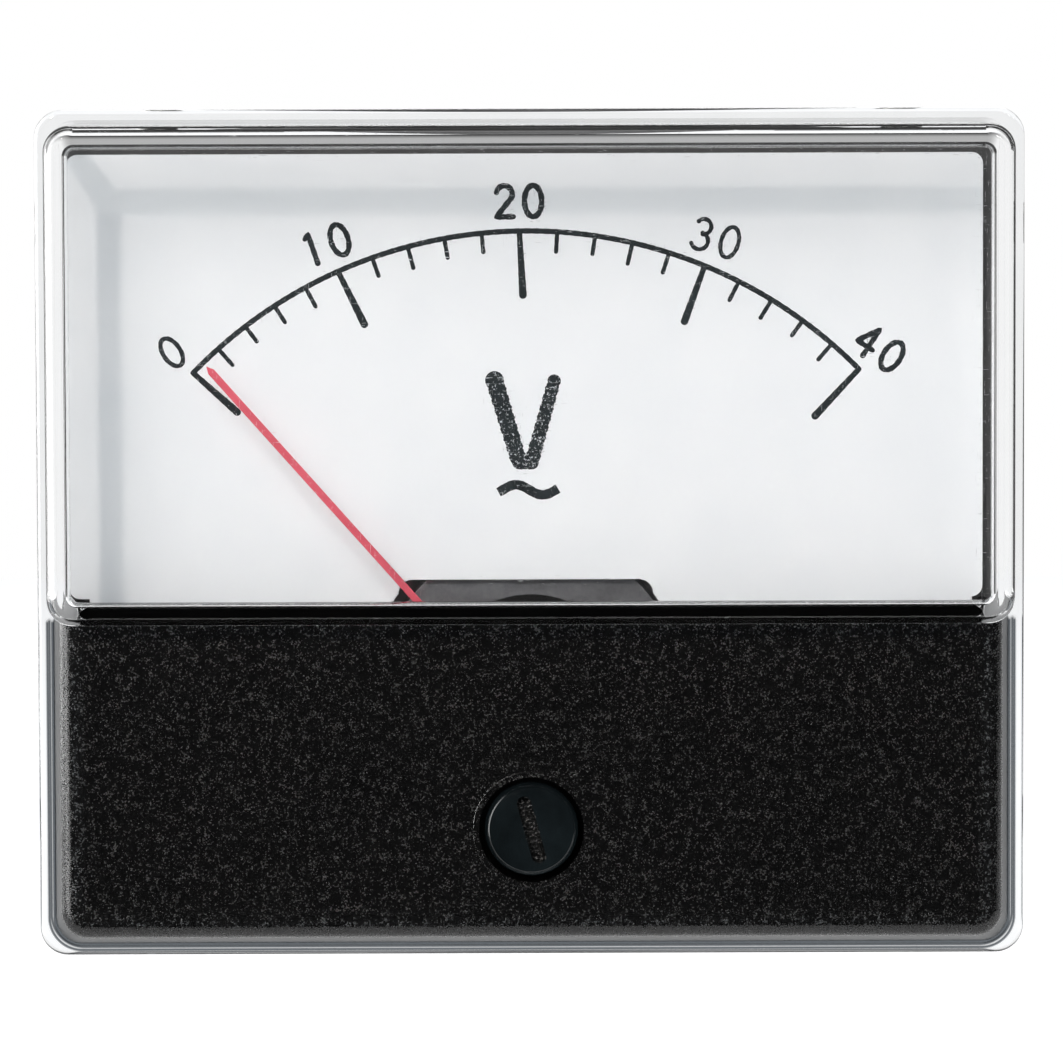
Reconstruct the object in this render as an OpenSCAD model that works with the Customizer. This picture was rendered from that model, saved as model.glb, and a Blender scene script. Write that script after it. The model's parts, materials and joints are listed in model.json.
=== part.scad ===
// Analog panel meter: a clear moulded cover over a white dial, a black lower face with the
// zero adjuster in it, and a round barrel that goes through the panel. Inside is a moving-coil
// movement with its magnet in the core, and a rectifier board for alternating voltage.
// The panel's front surface is the plane Y = 0. The front stands out of it towards -Y, and the
// barrel goes towards +Y. +Z is up and +X is the viewer's right. All sizes are millimetres.

/* [Front cover] */
// Width of the front
front_w = 70; // [64:1:90]
// Height of the front
front_h = 60; // [58:1:80]
// Corner radius of the rim
front_r = 2; // [0.5:0.1:4]
// Thickness of the rim that lies on the panel
rim_t = 2.4; // [1.8:0.1:3]
// How far the rim stands out past the raised box at each side
rim_side = 1; // [0.4:0.05:2]
// How far the rim stands out past the raised box above and below
rim_end = 0.65; // [0.3:0.05:2]
// Wall thickness of the cover
cover_wall = 1.25; // [1:0.05:1.6]
// Depth of the window's front from the panel
window_depth = 14; // [13:0.1:20]
// How far the window box narrows on each side towards its front
window_draft_side = 0.75; // [0.2:0.05:1.5]
// How far the window box narrows at its top towards its front
window_draft_top = 0.85; // [0.2:0.05:1.5]
// Height of the window box's lower edge, from the middle of the front
window_bottom = -5.75; // [-9:0.05:-3]
// Radius of the window box's edges
window_edge_r = 0.9; // [0.3:0.05:1.3]
// Corner radius of the window box
window_corner_r = 1.8; // [1.4:0.1:4]
// Depth of the lower face from the panel
face_depth = 10.5; // [10.3:0.1:11.5]
// How far the lower box narrows on each side towards its face
face_draft_side = 1.35; // [0.2:0.05:2]
// How far the lower box narrows at its bottom towards its face
face_draft_bottom = 1.7; // [0.2:0.05:2.5]
// Radius of the lower face's edges
face_edge_r = 1.2; // [0.3:0.05:1.3]

/* [Front mask] */
// Thickness of the black mask behind the lower face
mask_t = 0.7; // [0.5:0.05:0.8]
// Gap between the mask and the cover around it
mask_gap = 0.05; // [0.03:0.01:0.15]

/* [Housing] */
// Diameter of the barrel that goes through the panel
barrel_d = 51; // [42:0.5:52]
// Length of the barrel behind the panel
barrel_len = 23.5; // [23.5:0.5:40]
// Wall thickness of the barrel
barrel_wall = 1.8; // [1.2:0.1:2.5]
// Thickness of the barrel's back
back_t = 2.5; // [1.8:0.1:4]
// Gap all round between the housing's flange and the cover
cover_fit = 0.15; // [0.05:0.05:0.4]

/* [Dial] */
// Distance of the dial plate's sides from the front's
dial_inset = 2.75; // [2.7:0.05:6]
// Thickness of the dial plate
dial_t = 0.5; // [0.3:0.05:0.8]
// Depth of the dial's face from the panel
dial_depth = 3.4; // [3:0.05:3.8]
// Height of the dial's top edge, from the middle of the front
dial_top = 26.8; // [20:0.1:27]
// How far down the dial plate reaches, from the middle of the front
dial_bottom = -12.5; // [-16:0.5:-11]
// How far the dial plate sits off the middle, to the right
dial_shift = -0.35; // [-0.5:0.05:0.5]
// Radius of the cut-out round the movement
cutout_r = 11.4; // [11:0.1:13]
// Height of the cut-out's flat top above the pivot
cutout_top = 8; // [7:0.1:10]

/* [Movement] */
// Distance of the pivot below the middle of the front
pivot_drop = 11.2; // [9:0.1:12]
// Outer radius of the iron ring
ring_r = 10.8; // [9:0.1:11]
// Bore radius of the iron ring
ring_bore_r = 6.9; // [6.5:0.1:7.5]
// Length of the iron ring and of the core magnet
ring_len = 11; // [8:0.5:12]
// Radius of the core magnet
core_r = 4.7; // [4:0.1:5]
// Width of the coil across its own plane
coil_w = 2.4; // [1.8:0.1:2.8]
// Clearance between the coil and the core
coil_gap = 0.4; // [0.3:0.05:0.6]
// Depth of winding on the coil's former
winding_t = 0.9; // [0.5:0.05:1]
// Wall thickness of the coil's former
former_t = 0.2; // [0.15:0.05:0.3]
// Length of the pointer from the pivot to its tip
pointer_len = 32.4; // [24:0.1:36]
// Width of the pointer's blade
pointer_w = 0.5; // [0.4:0.05:1]
// Thickness of the pointer's blade
pointer_t = 0.2; // [0.1:0.05:0.3]
// How far the blade runs to the left of the pivot
pointer_offset = 1.55; // [0:0.05:1.6]
// Direction of the blade at rest, clockwise from straight up
pointer_rest = -41.7; // [-50:0.1:-30]
// Swing of the coil from rest to the lower stop
swing_low = -3; // [-6:0.5:-1]
// Swing of the coil from rest to the upper stop
swing_high = 94; // [80:0.5:96]

/* [Zero adjuster] */
// Distance of the adjuster below the middle of the front
adjuster_drop = 20.2; // [18:0.1:21]
// Diameter of the adjuster's head
head_d = 6.5; // [5:0.1:8]
// Gap between the head and the hole in the cover, all round
head_gap = 0.4; // [0.1:0.05:0.8]
// Height of the head's dome
head_dome = 0.7; // [0.3:0.05:1]
// Length of the driver slot
slot_len = 4.8; // [3:0.1:5.5]
// Width of the driver slot
slot_w = 1; // [0.6:0.05:1.2]
// Depth of the driver slot
slot_deep = 0.9; // [0.5:0.05:1.1]
// Lean of the driver slot at rest, clockwise from straight up
slot_lean = -15.5; // [-90:0.5:90]
// Distance of the crank pin from the adjuster's axis
crank_r = 1.4; // [1:0.05:1.8]
// Diameter of the crank pin
crank_pin_d = 1.2; // [0.8:0.05:1.3]
// Play between the crank pin and each side of the lever's fork
fork_play = 0.1; // [0.08:0.01:0.2]

/* [Fastenings] */
// Diameter of the panel studs
panel_stud_d = 3; // [2.5:0.5:4]
// Length of the panel studs behind the panel
panel_stud_len = 14; // [8:0.5:20]
// Distance of the panel studs from the sides of the front
stud_inset_side = 8; // [7:0.5:8.5]
// Distance of the panel studs from the top and bottom of the front
stud_inset_end = 8; // [7:0.5:8.5]
// Diameter of the terminal studs
terminal_d = 4; // [3:0.5:5]
// Distance between the terminal studs
terminal_spacing = 26; // [24:0.5:28]
// Height of the terminal studs above the middle of the front
terminal_rise = 9; // [8:0.5:10]
// Free length of the terminal studs past their last nut
terminal_free = 7.5; // [4:0.1:12]
// Width of the terminal nuts across their flats
nut_flats = 7; // [5.5:0.5:8]

/* [Hidden] */

$fn = 64;
over = 0.5; // how far a cutting shape runs past what it cuts
skin = 0.01; // thickness of the outlines that a moulded box is drawn between
seat = 0.03; // gap between pieces that are pressed, screwed or glued together
running = 0.05; // radial play of a turning fit
edge_steps = 5; // flats round a moulded edge
corner_steps = 7; // flats round a moulded corner

// Cover and mask
half_w = front_w / 2;
half_h = front_h / 2;
box_x = half_w - rim_side;
box_z = half_h - rim_end;
cavity_r = 0.8;
inner_edge_r = 0.4;
face_back = -face_depth + cover_wall; // Y of the lower face's inner side
window_step = window_bottom + cover_wall; // Z of the floor inside the window box
mask_front = face_back + mask_gap;
mask_back = mask_front + mask_t;

// Hooks inside the rim that hold the housing's flange
hook_x = half_w * 0.42;
hook_w = 5;
hook_t = 0.8;
hook_reach = 0.5;
hook_lift = 0.25; // distance of a hook from the panel

// Housing
barrel_r = barrel_d / 2;
bore_r = barrel_r - barrel_wall;
flange_x = box_x - cover_wall - cover_fit;
flange_z = box_z - cover_wall - cover_fit;
back_in = barrel_len - back_t;
pad_r = 2.2;
boss_r = 5.2;
boss_h = 0.8;

// Studs
stud_shank_r = panel_stud_d / 2 + 0.25; // knurled part that is held in the flange
stud_tip = 0.4;

// Dial
dial_front = -dial_depth;
dial_back = dial_front + dial_t;
dial_low_x = box_x - cover_wall - mask_t - 0.9; // half width of the part behind the mask
dial_screw_x = barrel_r + 2.5;
dial_screw_z = dial_bottom + 3.5;
dial_screw_r = 0.8;
cutout_corner = 1;

// Movement, measured from the pivot
pivot_z = -pivot_drop;
ring_front = -rim_t - 0.2;
ring_back = ring_front + ring_len;
coil_in = core_r + coil_gap; // inner half width of the coil
coil_mid = coil_in + former_t;
coil_out = coil_mid + winding_t;
coil_end_gap = 0.5;
coil_front = ring_front - coil_end_gap - former_t - winding_t;
coil_back = ring_back + coil_end_gap + former_t + winding_t;
coil_rest = -(swing_high + swing_low) / 2; // the coil stands upright half way through its swing
plate_t = 2;
plate_back = ring_back + plate_t;
web_half = 22; // half the angle of each web that carries the core
ear_x = 14.5;
ear_rise = 8;
ear_r = 3;
frame_screw_r = 1.2;
pillar_x = (ring_r + ring_bore_r) / 2;
pillar_r = 1.25;
bridge_screw_r = 0.6;
bridge_w = 3.8;

// Stack of pieces along the pivot, in front of the coil and behind it
base_t = 0.4;
cross_t = 0.45;
cross_front = coil_front - base_t - cross_t;
pointer_front = cross_front - pointer_t;
staff_r = 0.35;
base_r = 1.6;
collet_r = 0.75;
collet_t = 0.6;
collet_gap = 0.1;
bridge_back = pointer_front - collet_gap - collet_t - 0.35;
bridge_t = 0.7;
bridge_front = bridge_back - bridge_t;
lever_t = 0.4;
lever_front = bridge_front - seat - lever_t;
rear_bridge_front = coil_back + base_t + 2 * collet_gap + collet_t + 0.9;
rear_bridge_back = rear_bridge_front + bridge_t;
jewel_r = 0.75;
jewel_t = 0.6;
jewel_screw_r = 1.3;
bush_r = 1.9;
cup_r = 0.5;
cup_deep = 0.4;
tip_len = 0.55;
lock_t = 0.45;
lock_flats = 4;

// Hairsprings
spring_in = collet_r;
spring_out = 3.3;
spring_turns = 3.5;
spring_t = 0.1;
spring_h = 0.3;
spring_steps = 28; // flats in one turn
anchor_r = 0.28;

// Balance of the moving part
arm_w = 0.5;
arm_len = 6.4;
tail_len = 8.6;
weight_r = 0.62;
tail_weight_len = 1.98;
tail_weight_at = 7.4;
side_weight_len = 1;
side_weight_at = 5;
side_weight_shift = 0.81; // the right weight is this much further out, the left one further in

// Pointer stops
stop_r = 0.4;
stop_at = 8.4;
stop_clear = 0.06;

// Zero adjuster
adjuster_z = -adjuster_drop;
adjuster_hole_r = head_d / 2 + head_gap;
neck_r = 2;
collar_r = 2.6;
collar_t = 0.4;
head_edge_y = -face_depth + 0.4;
crank_pin_back = bridge_front + 0.2;
fork_len = 2.6;
fork_w = 0.8;
lever_w = 1.6;

// Terminals and board
board_front = back_in - 4.8;
board_t = 1.2;
board_x = 16;
board_low = 3;
board_high = 17;
collar_terminal_r = 3.5;
nut_t = 2.4;
washer_t = 0.8;
washer_r = 4.4;
spring_washer_t = 0.9;
spring_washer_r = 3.6;
terminal_seat = barrel_len + boss_h;
groove_w = 0.6; // run-out groove between the thread under the nuts and the free thread
groove_deep = 0.3;
free_start = terminal_seat + 2 * nut_t + washer_t + spring_washer_t + groove_w;
terminal_end = free_start + terminal_free;
lead_r = 0.28;
wire_r = 0.5;

// Routes of the two inner wires, from the board to the bridges, as chosen points
front_wire = [[10, board_front, 4.5], [10, board_front - 1, 4.5], [10, 14, 2.5],
    [10, 14, -8], [12.9, 12.5, -14.5], [12.9, -4.4, -14.5], [12, -5.1, -11.8],
    [12, bridge_back, -11.8]];
rear_wire = [[-10, board_front, 4.5], [-10, board_front - 1, 4.5], [-10, 14.6, 2],
    [-11, 14.6, pivot_z + 2.4], [-11.2, 14, pivot_z], [-11.2, rear_bridge_back, pivot_z]];

// ---------- shared shapes ----------

// A front-view outline drawn out between two depths; the back one is the larger Y
module slab(front, back) {
    translate([0, back, 0]) rotate([90, 0, 0]) linear_extrude(back - front) children();
}

// A round bar along Y
module rod(r, front, back) {
    translate([0, back, 0]) rotate([90, 0, 0]) cylinder(r = r, h = back - front);
}

// A round bar along Y with a bore
module sleeve(r, bore, front, back) {
    difference() {
        rod(r, front, back);
        rod(bore, front - over, back + over);
    }
}

// Puts a piece on the pivot axis
module at_pivot() {
    translate([0, 0, pivot_z]) children();
}

// The chamfered free end of a stud
module stud_end(r, end) {
    translate([0, end, 0]) rotate([90, 0, 0]) cylinder(r1 = r - stud_tip, r2 = r, h = stud_tip);
}

// Repeats a piece at the same height on the left and on the right
module both_sides(x, z) {
    for (side = [-1, 1]) translate([side * x, 0, z]) children();
}

// Points of a rectangle with round corners, in the front view
function round_box(x, low, high, r) = [
    for (c = [[1, 1, 0], [-1, 1, 90], [-1, -1, 180], [1, -1, 270]])
        for (i = [0 : corner_steps])
            let (a = c[2] + 90 * i / corner_steps)
                [c[0] * (x - r) + r * cos(a),
                 (c[1] > 0 ? high - r : low + r) + r * sin(a)]
];

// One thin outline of a moulded box: b is [half width, lowest Z, highest Z, Y]
module box_line(b, inset, r) {
    slab(b[3], b[3] + skin)
        polygon(round_box(b[0] - inset, b[1] + inset, b[2] - inset, max(r - inset, 0.1)));
}

// A moulded box that narrows from its back outline to its front one, with a round front edge
module moulded_box(back, front, r, edge) {
    hull() {
        box_line(back, 0, r);
        for (i = [0 : edge_steps])
            let (a = 90 * i / edge_steps)
                box_line([front[0], front[1], front[2], front[3] + edge * (1 - sin(a))],
                    edge * (1 - cos(a)), r);
    }
}

function unit(v) = v / norm(v);

// An insulated wire along a line of points, as one skin with a ring of corners at each point
module wire(points, r) {
    last = len(points) - 1;
    sides = 10;
    rings = [for (i = [0 : last])
        let (before = unit(points[max(i, 1)] - points[max(i, 1) - 1]),
             after = unit(points[min(i, last - 1) + 1] - points[min(i, last - 1)]),
             way = unit(before + after),
             across = unit(cross(way, [1, 0, 0])))
            for (k = [0 : sides - 1]) let (a = 360 * k / sides)
                points[i] + r * (cos(a) * across + sin(a) * cross(way, across))];
    walls = [for (i = [0 : last - 1]) for (k = [0 : sides - 1])
        let (n = (k + 1) % sides, low = i * sides, high = low + sides)
            for (half = [0, 1]) half == 0 ? [low + k, high + k, high + n]
                : [low + k, high + n, low + n]];
    ends = [[for (k = [0 : sides - 1]) k], [for (k = [sides - 1 : -1 : 0]) last * sides + k]];
    polyhedron(rings, concat(ends, walls));
}

// A hexagon of that width across its flats
module hexagon(flats) {
    circle(d = flats / cos(30), $fn = 6);
}

// A flat spiral spring, its outer end straight above the pivot
module hairspring(front, hand) {
    total = spring_turns * 360;
    steps = spring_turns * spring_steps;
    pitch = (spring_out - spring_in) / total;
    outer = [for (i = [0 : steps]) let (a = i / steps * total, r = spring_out - pitch * a)
        [hand * r * sin(a), r * cos(a)]];
    inner = [for (i = [steps : -1 : 0])
        let (a = i / steps * total, r = spring_out - spring_t - pitch * a)
            [hand * r * sin(a), r * cos(a)]];
    slab(front, front + spring_h) polygon(concat(outer, inner));
    sleeve(collet_r, staff_r + seat, front - (collet_t - spring_h) / 2,
        front + (collet_t + spring_h) / 2);
}

// ---------- case ----------

module front_cover() {
    back = [box_x, -box_z, box_z, -rim_t - skin];
    face = [box_x - face_draft_side, -box_z + face_draft_bottom, 0, -face_depth];
    window_back = [box_x, window_bottom, box_z, -rim_t - skin];
    window_front = [box_x - window_draft_side, window_bottom, box_z - window_draft_top,
        -window_depth];
    color("aliceblue", 0.4) difference() {
        union() {
            slab(-rim_t, 0) polygon(round_box(half_w, -half_h, half_h, front_r));
            moulded_box(back, face, window_corner_r, face_edge_r);
            moulded_box(window_back, window_front, window_corner_r, window_edge_r);
        }
        slab(-rim_t - over, over)
            polygon(round_box(box_x - cover_wall, -box_z + cover_wall, box_z - cover_wall,
                cavity_r));
        moulded_box([box_x - cover_wall, -box_z + cover_wall, 0, -rim_t - skin],
            [face[0] - cover_wall, face[1] + cover_wall, window_step, face_back],
            cavity_r, inner_edge_r);
        moulded_box([box_x - cover_wall, window_step, box_z - cover_wall, -rim_t - skin],
            [window_front[0] - cover_wall, window_step, window_front[2] - cover_wall,
                -window_depth + cover_wall],
            cavity_r, inner_edge_r);
        translate([0, 0, adjuster_z])
            rod(adjuster_hole_r, -face_depth - over, face_back + over);
    }
    color("aliceblue", 0.4) for (end = [-1, 1]) both_sides(hook_x, 0)
        translate([-hook_w / 2, -hook_lift - hook_t,
            end > 0 ? box_z - cover_wall - hook_reach : -box_z + cover_wall - over])
            cube([hook_w, hook_t, hook_reach + over]);
}

// A tray behind the lower face: a front plate and walls at the sides and the bottom
module front_mask() {
    x_back = box_x - cover_wall - mask_gap;
    z_back = -box_z + cover_wall + mask_gap;
    x_face = x_back - face_draft_side;
    z_face = z_back + face_draft_bottom;
    color("black") difference() {
        moulded_box([x_back, z_back, window_step - mask_gap, -rim_t - skin],
            [x_face, z_face, window_step - mask_gap, mask_front], cavity_r, inner_edge_r);
        moulded_box([x_back - mask_t, z_back + mask_t, window_step + over, -rim_t + over],
            [x_face - mask_t, z_face + mask_t, window_step + over, mask_back],
            cavity_r, inner_edge_r);
        translate([0, 0, adjuster_z])
            rod(neck_r + running, mask_front - over, mask_back + over);
    }
}

module base_housing() {
    color("#1c1c1e") difference() {
        union() {
            slab(-rim_t, 0) polygon(round_box(flange_x, -flange_z, flange_z, cavity_r));
            rod(barrel_r, -over, barrel_len);
            both_sides(terminal_spacing / 2, terminal_rise)
                rod(boss_r, barrel_len - over, terminal_seat);
            both_sides(dial_screw_x, dial_screw_z) rod(pad_r, dial_back, -over);
        }
        difference() {
            rod(bore_r, -rim_t - over, back_in);
            both_sides(ear_x, pivot_z + ear_rise)
                rod(ear_r, plate_back, barrel_len);
        }
        both_sides(ear_x, pivot_z + ear_rise)
            rod(frame_screw_r + seat, plate_back - over, plate_back + 6);
        both_sides(terminal_spacing / 2, terminal_rise)
            rod(terminal_d / 2 + seat, back_in - over, terminal_seat + over);
        both_sides(dial_screw_x, dial_screw_z)
            rod(dial_screw_r + seat, dial_back - over, -0.6);
        for (z = [-1, 1]) both_sides(half_w - stud_inset_side, z * (half_h - stud_inset_end)) {
            rod(stud_shank_r + seat, -rim_t - over, over);
            rod(panel_stud_d / 2 + 1.1 + seat, -rim_t - over, -rim_t + 1.4 + seat);
        }
        for (end = [-1, 1]) both_sides(hook_x, 0)
            translate([-hook_w / 2 - 0.3, -hook_lift - hook_t - 0.2,
                end > 0 ? flange_z - hook_reach : -flange_z - over])
                cube([hook_w + 0.6, hook_lift + hook_t + 0.2 + over, hook_reach + over]);
    }
}

// ---------- dial ----------

// The opening round the movement: a circle cut flat at its top, and open below
module cutout() {
    corner_z = cutout_top - cutout_corner;
    corner_x = sqrt(cutout_r * cutout_r - corner_z * corner_z) - cutout_corner;
    intersection() {
        circle(r = cutout_r);
        translate([-cutout_r, -cutout_r]) square([2 * cutout_r, cutout_r + corner_z]);
    }
    translate([-corner_x, 0]) square([2 * corner_x, cutout_top]);
    for (side = [-1, 1]) translate([side * corner_x, corner_z]) circle(r = cutout_corner);
    translate([-cutout_r, -cutout_r * 2]) square([2 * cutout_r, cutout_r * 2]);
}

module dial_plate() {
    color("white") difference() {
        slab(dial_front, dial_back) {
            translate([dial_shift, 0])
                polygon(round_box(half_w - dial_inset, window_step, dial_top, 0.8));
            polygon(round_box(dial_low_x, dial_bottom, window_step + 2, 0.8));
        }
        translate([dial_shift, 0, pivot_z]) slab(dial_front - over, dial_back + over) cutout();
        both_sides(dial_screw_x, dial_screw_z)
            rod(dial_screw_r + 0.3, dial_front - over, dial_back + over);
    }
}

module dial_screws() {
    color("silver") both_sides(dial_screw_x, dial_screw_z) difference() {
        union() {
            rod(1.6, dial_front - 0.9, dial_front);
            rod(dial_screw_r, dial_front - 0.1, -0.8);
        }
        translate([-2, dial_front - 0.9 - over, -0.2]) cube([4, over + 0.45, 0.4]);
    }
}

// ---------- fastenings ----------

module panel_studs() {
    color("silver") for (z = [-1, 1])
        both_sides(half_w - stud_inset_side, z * (half_h - stud_inset_end)) {
            rod(panel_stud_d / 2 + 1.1, -rim_t, -rim_t + 1.4);
            rod(stud_shank_r, -rim_t + 1.3, 0);
            rod(panel_stud_d / 2, -0.1, panel_stud_len - stud_tip);
            stud_end(panel_stud_d / 2, panel_stud_len);
        }
}

module terminal_studs() {
    color("goldenrod") both_sides(terminal_spacing / 2, terminal_rise) {
        rod(terminal_d / 2, board_front - nut_t - 0.4, free_start - groove_w);
        rod(terminal_d / 2 - groove_deep, free_start - groove_w - 0.1, free_start + 0.1);
        rod(terminal_d / 2, free_start, terminal_end - stud_tip);
        stud_end(terminal_d / 2, terminal_end);
        rod(collar_terminal_r, board_front + board_t, back_in);
    }
}

// Each stud has a nut inside on the board, one that clamps it to the back, and one for the wire
module terminal_nuts() {
    last = terminal_seat + nut_t + washer_t + spring_washer_t;
    color("goldenrod") both_sides(terminal_spacing / 2, terminal_rise)
        for (front = [board_front - nut_t, terminal_seat, last]) difference() {
            slab(front, front + nut_t) hexagon(nut_flats);
            rod(terminal_d / 2 + seat, front - over, front + nut_t + over);
        }
}

module terminal_washers() {
    front = terminal_seat + nut_t;
    color("silver") both_sides(terminal_spacing / 2, terminal_rise)
        sleeve(washer_r, terminal_d / 2 + 0.15, front, front + washer_t);
}

module spring_washers() {
    front = terminal_seat + nut_t + washer_t;
    color("gray") both_sides(terminal_spacing / 2, terminal_rise) difference() {
        sleeve(spring_washer_r, terminal_d / 2 + 0.1, front, front + spring_washer_t);
        rotate([0, 40, 0]) translate([0, front - over, -0.4])
            cube([washer_r, spring_washer_t + 2 * over, 0.8]);
    }
}

// ---------- movement, fixed ----------

// Section of the webs that stand in the air gap and carry the core
module web_section() {
    reach = ring_r * 2;
    intersection() {
        difference() {
            circle(r = ring_bore_r - seat);
            circle(r = core_r + seat);
        }
        for (side = [-1, 1]) polygon([[0, 0],
            [side * reach * cos(web_half), reach * sin(web_half)],
            [side * reach * cos(web_half), -reach * sin(web_half)]]);
    }
}

// One casting: the plate behind the ring, its two ears, and the webs
module movement_frame() {
    arm = ear_r * 1.6;
    color("lightgray") at_pivot() {
        difference() {
            union() {
                slab(ring_back, plate_back) circle(r = ring_r);
                for (side = [-1, 1]) slab(ring_back, plate_back) {
                    translate([side * ear_x, ear_rise]) circle(r = ear_r);
                    rotate(side > 0 ? atan2(ear_rise, ear_x) : 180 - atan2(ear_rise, ear_x))
                        translate([ring_bore_r + 1, -arm / 2])
                            square([norm([ear_x, ear_rise]) - ring_bore_r - 1, arm]);
                }
            }
            rod(ring_bore_r, ring_back - over, plate_back + over);
            both_sides(ear_x, ear_rise)
                rod(frame_screw_r + 0.1, ring_back - over, plate_back + over);
            both_sides(pillar_x, 0)
                rod(bridge_screw_r + seat, ring_back - over, plate_back + over);
        }
        difference() {
            slab(ring_front + 0.6, ring_back + 0.6) web_section();
            rod(core_r + seat, ring_front - over, plate_back + over);
        }
        intersection() {
            slab(ring_back, ring_back + 0.6) web_shoulder();
            rod(ring_r, ring_back, plate_back);
        }
    }
}

// Where each web joins the plate, it grows out to the wall of the plate's hole
module web_shoulder() {
    reach = ring_r * 2;
    intersection() {
        difference() {
            circle(r = ring_bore_r + 0.6);
            circle(r = core_r + seat);
        }
        for (side = [-1, 1]) polygon([[0, 0],
            [side * reach * cos(web_half), reach * sin(web_half)],
            [side * reach * cos(web_half), -reach * sin(web_half)]]);
    }
}

module frame_screws() {
    color("silver") both_sides(ear_x, pivot_z + ear_rise) difference() {
        union() {
            rod(2.2, ring_back - 1.5, ring_back);
            rod(frame_screw_r, ring_back - 0.1, plate_back + 5.5);
        }
        translate([-3, ring_back - 1.5 - over, -0.25]) cube([6, over + 0.7, 0.5]);
    }
}

module yoke_ring() {
    color("#55565a") at_pivot() difference() {
        sleeve(ring_r, ring_bore_r, ring_front, ring_back);
        both_sides(pillar_x, 0) {
            rod(bridge_screw_r + seat, ring_front - over, ring_front + 3);
            rod(bridge_screw_r + seat, ring_back - 3, ring_back + over);
        }
        for (turn = [swing_low, swing_high]) at_stop(turn)
            rod(stop_r + seat, ring_front - over, ring_front + 1.5);
    }
}

module core_magnet() {
    color("dimgray") at_pivot() rod(core_r, ring_front, ring_back);
}

// A strip across the ring with a screw hole over each pillar and the jewel screw's hole
module bridge(front, back, left, right) {
    difference() {
        slab(front, back) {
            translate([-left, -bridge_w / 2]) square([left + right, bridge_w]);
            circle(r = bridge_w / 2 + 0.6);
        }
        both_sides(pillar_x, 0) rod(bridge_screw_r + seat, front - over, back + over);
        rod(jewel_screw_r + seat, front - 5 * over, back + 5 * over);
    }
}

module front_bridge() {
    color("goldenrod") at_pivot() {
        bridge(bridge_front, bridge_back, pillar_x + 2, pillar_x + 4.4);
        sleeve(bush_r, jewel_screw_r + seat, lever_front - seat, bridge_front);
    }
}

module rear_bridge() {
    color("goldenrod") at_pivot()
        bridge(rear_bridge_front, rear_bridge_back, pillar_x + 3, pillar_x + 2);
}

module pillars(front, back) {
    at_pivot() both_sides(pillar_x, 0)
        sleeve(pillar_r, bridge_screw_r + seat, front, back);
}

module front_pillars() {
    color("silver") pillars(bridge_back, ring_front);
}

module rear_pillars() {
    color("silver") pillars(plate_back, rear_bridge_front);
}

module bridge_screws(head, tip) {
    towards = tip > head ? 1 : -1;
    at_pivot() both_sides(pillar_x, 0) difference() {
        union() {
            rod(1.1, min(head, head - towards * 0.5), max(head, head - towards * 0.5));
            rod(bridge_screw_r, min(head - towards * 0.1, tip), max(head - towards * 0.1, tip));
        }
        translate([-1.5, head - towards * 0.5 - 0.25, -0.15]) cube([3, 0.5, 0.3]);
    }
}

module front_bridge_screws() {
    color("silver") bridge_screws(bridge_front, ring_front + 2.8);
}

module rear_bridge_screws() {
    color("silver") bridge_screws(rear_bridge_back, ring_back - 2.8);
}

// A threaded barrel with a driver slot outside and a pocket for its jewel inside
module jewel_screw(tip, towards) {
    length = 1.95;
    end = tip + towards * length;
    difference() {
        rod(jewel_screw_r, min(tip, end), max(tip, end));
        rod(jewel_r + seat, min(tip - towards * over, tip + towards * (jewel_t + seat)),
            max(tip - towards * over, tip + towards * (jewel_t + seat)));
        translate([-2, min(end - towards * 0.4, end + towards * over), -0.2])
            cube([4, 0.4 + over, 0.4]);
    }
}

jewel_inset = 0.03; // distance of each jewel's face from the end of its screw
front_screw_tip = bridge_back + 0.1;
rear_screw_tip = rear_bridge_front - 0.1;

module front_jewel_screw() {
    color("goldenrod") at_pivot() jewel_screw(front_screw_tip, -1);
}

module rear_jewel_screw() {
    color("goldenrod") at_pivot() jewel_screw(rear_screw_tip, 1);
}

// A ruby disc with a cone in it for the pivot's point
module jewel(face, towards) {
    back = face + towards * (jewel_t - jewel_inset);
    difference() {
        rod(jewel_r, min(face, back), max(face, back));
        translate([0, face, 0]) rotate([towards > 0 ? -90 : 90, 0, 0])
            translate([0, 0, -skin]) cylinder(r1 = cup_r, r2 = 0, h = cup_deep + skin);
    }
}

module jewels() {
    color("crimson") at_pivot() {
        jewel(front_screw_tip - jewel_inset, -1);
        jewel(rear_screw_tip + jewel_inset, 1);
    }
}

module jewel_lock_nuts() {
    front_nut = lever_front - 2 * seat - lock_t;
    color("goldenrod") at_pivot()
        for (front = [front_nut, rear_bridge_back]) difference() {
            slab(front, front + lock_t) hexagon(lock_flats);
            rod(jewel_screw_r + seat, front - over, front + lock_t + over);
        }
}

// A pin on the rear bridge that holds the rear spring's outer end
module spring_anchor() {
    spring_front = coil_back + base_t + collet_gap + (collet_t - spring_h) / 2;
    color("goldenrod") at_pivot() translate([0, 0, spring_out + anchor_r + seat])
        rod(anchor_r, spring_front, rear_bridge_front + bridge_t / 2);
}

// Moves to where a stop post touches the blade when the coil has turned that far
module at_stop(turn) {
    side = turn < 0 ? -1 : 1;
    rotate([0, pointer_rest + turn, 0])
        translate([-pointer_offset + side * (pointer_w / 2 + stop_r + stop_clear), 0, stop_at])
            children();
}

module pointer_stops() {
    color("dimgray") at_pivot() for (turn = [swing_low, swing_high]) at_stop(turn)
        rod(stop_r, pointer_front - 0.4, ring_front + 1.4);
}

// ---------- electrical ----------

// Places for the four diodes and their holes
diode_x = [-6.6, -2.2, 2.2, 6.6];
diode_z = 9;
diode_span = 7.6;
resistor_z = 15;
resistor_span = 12;
part_lift = 1.3; // height of the components' axes over the board

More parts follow.
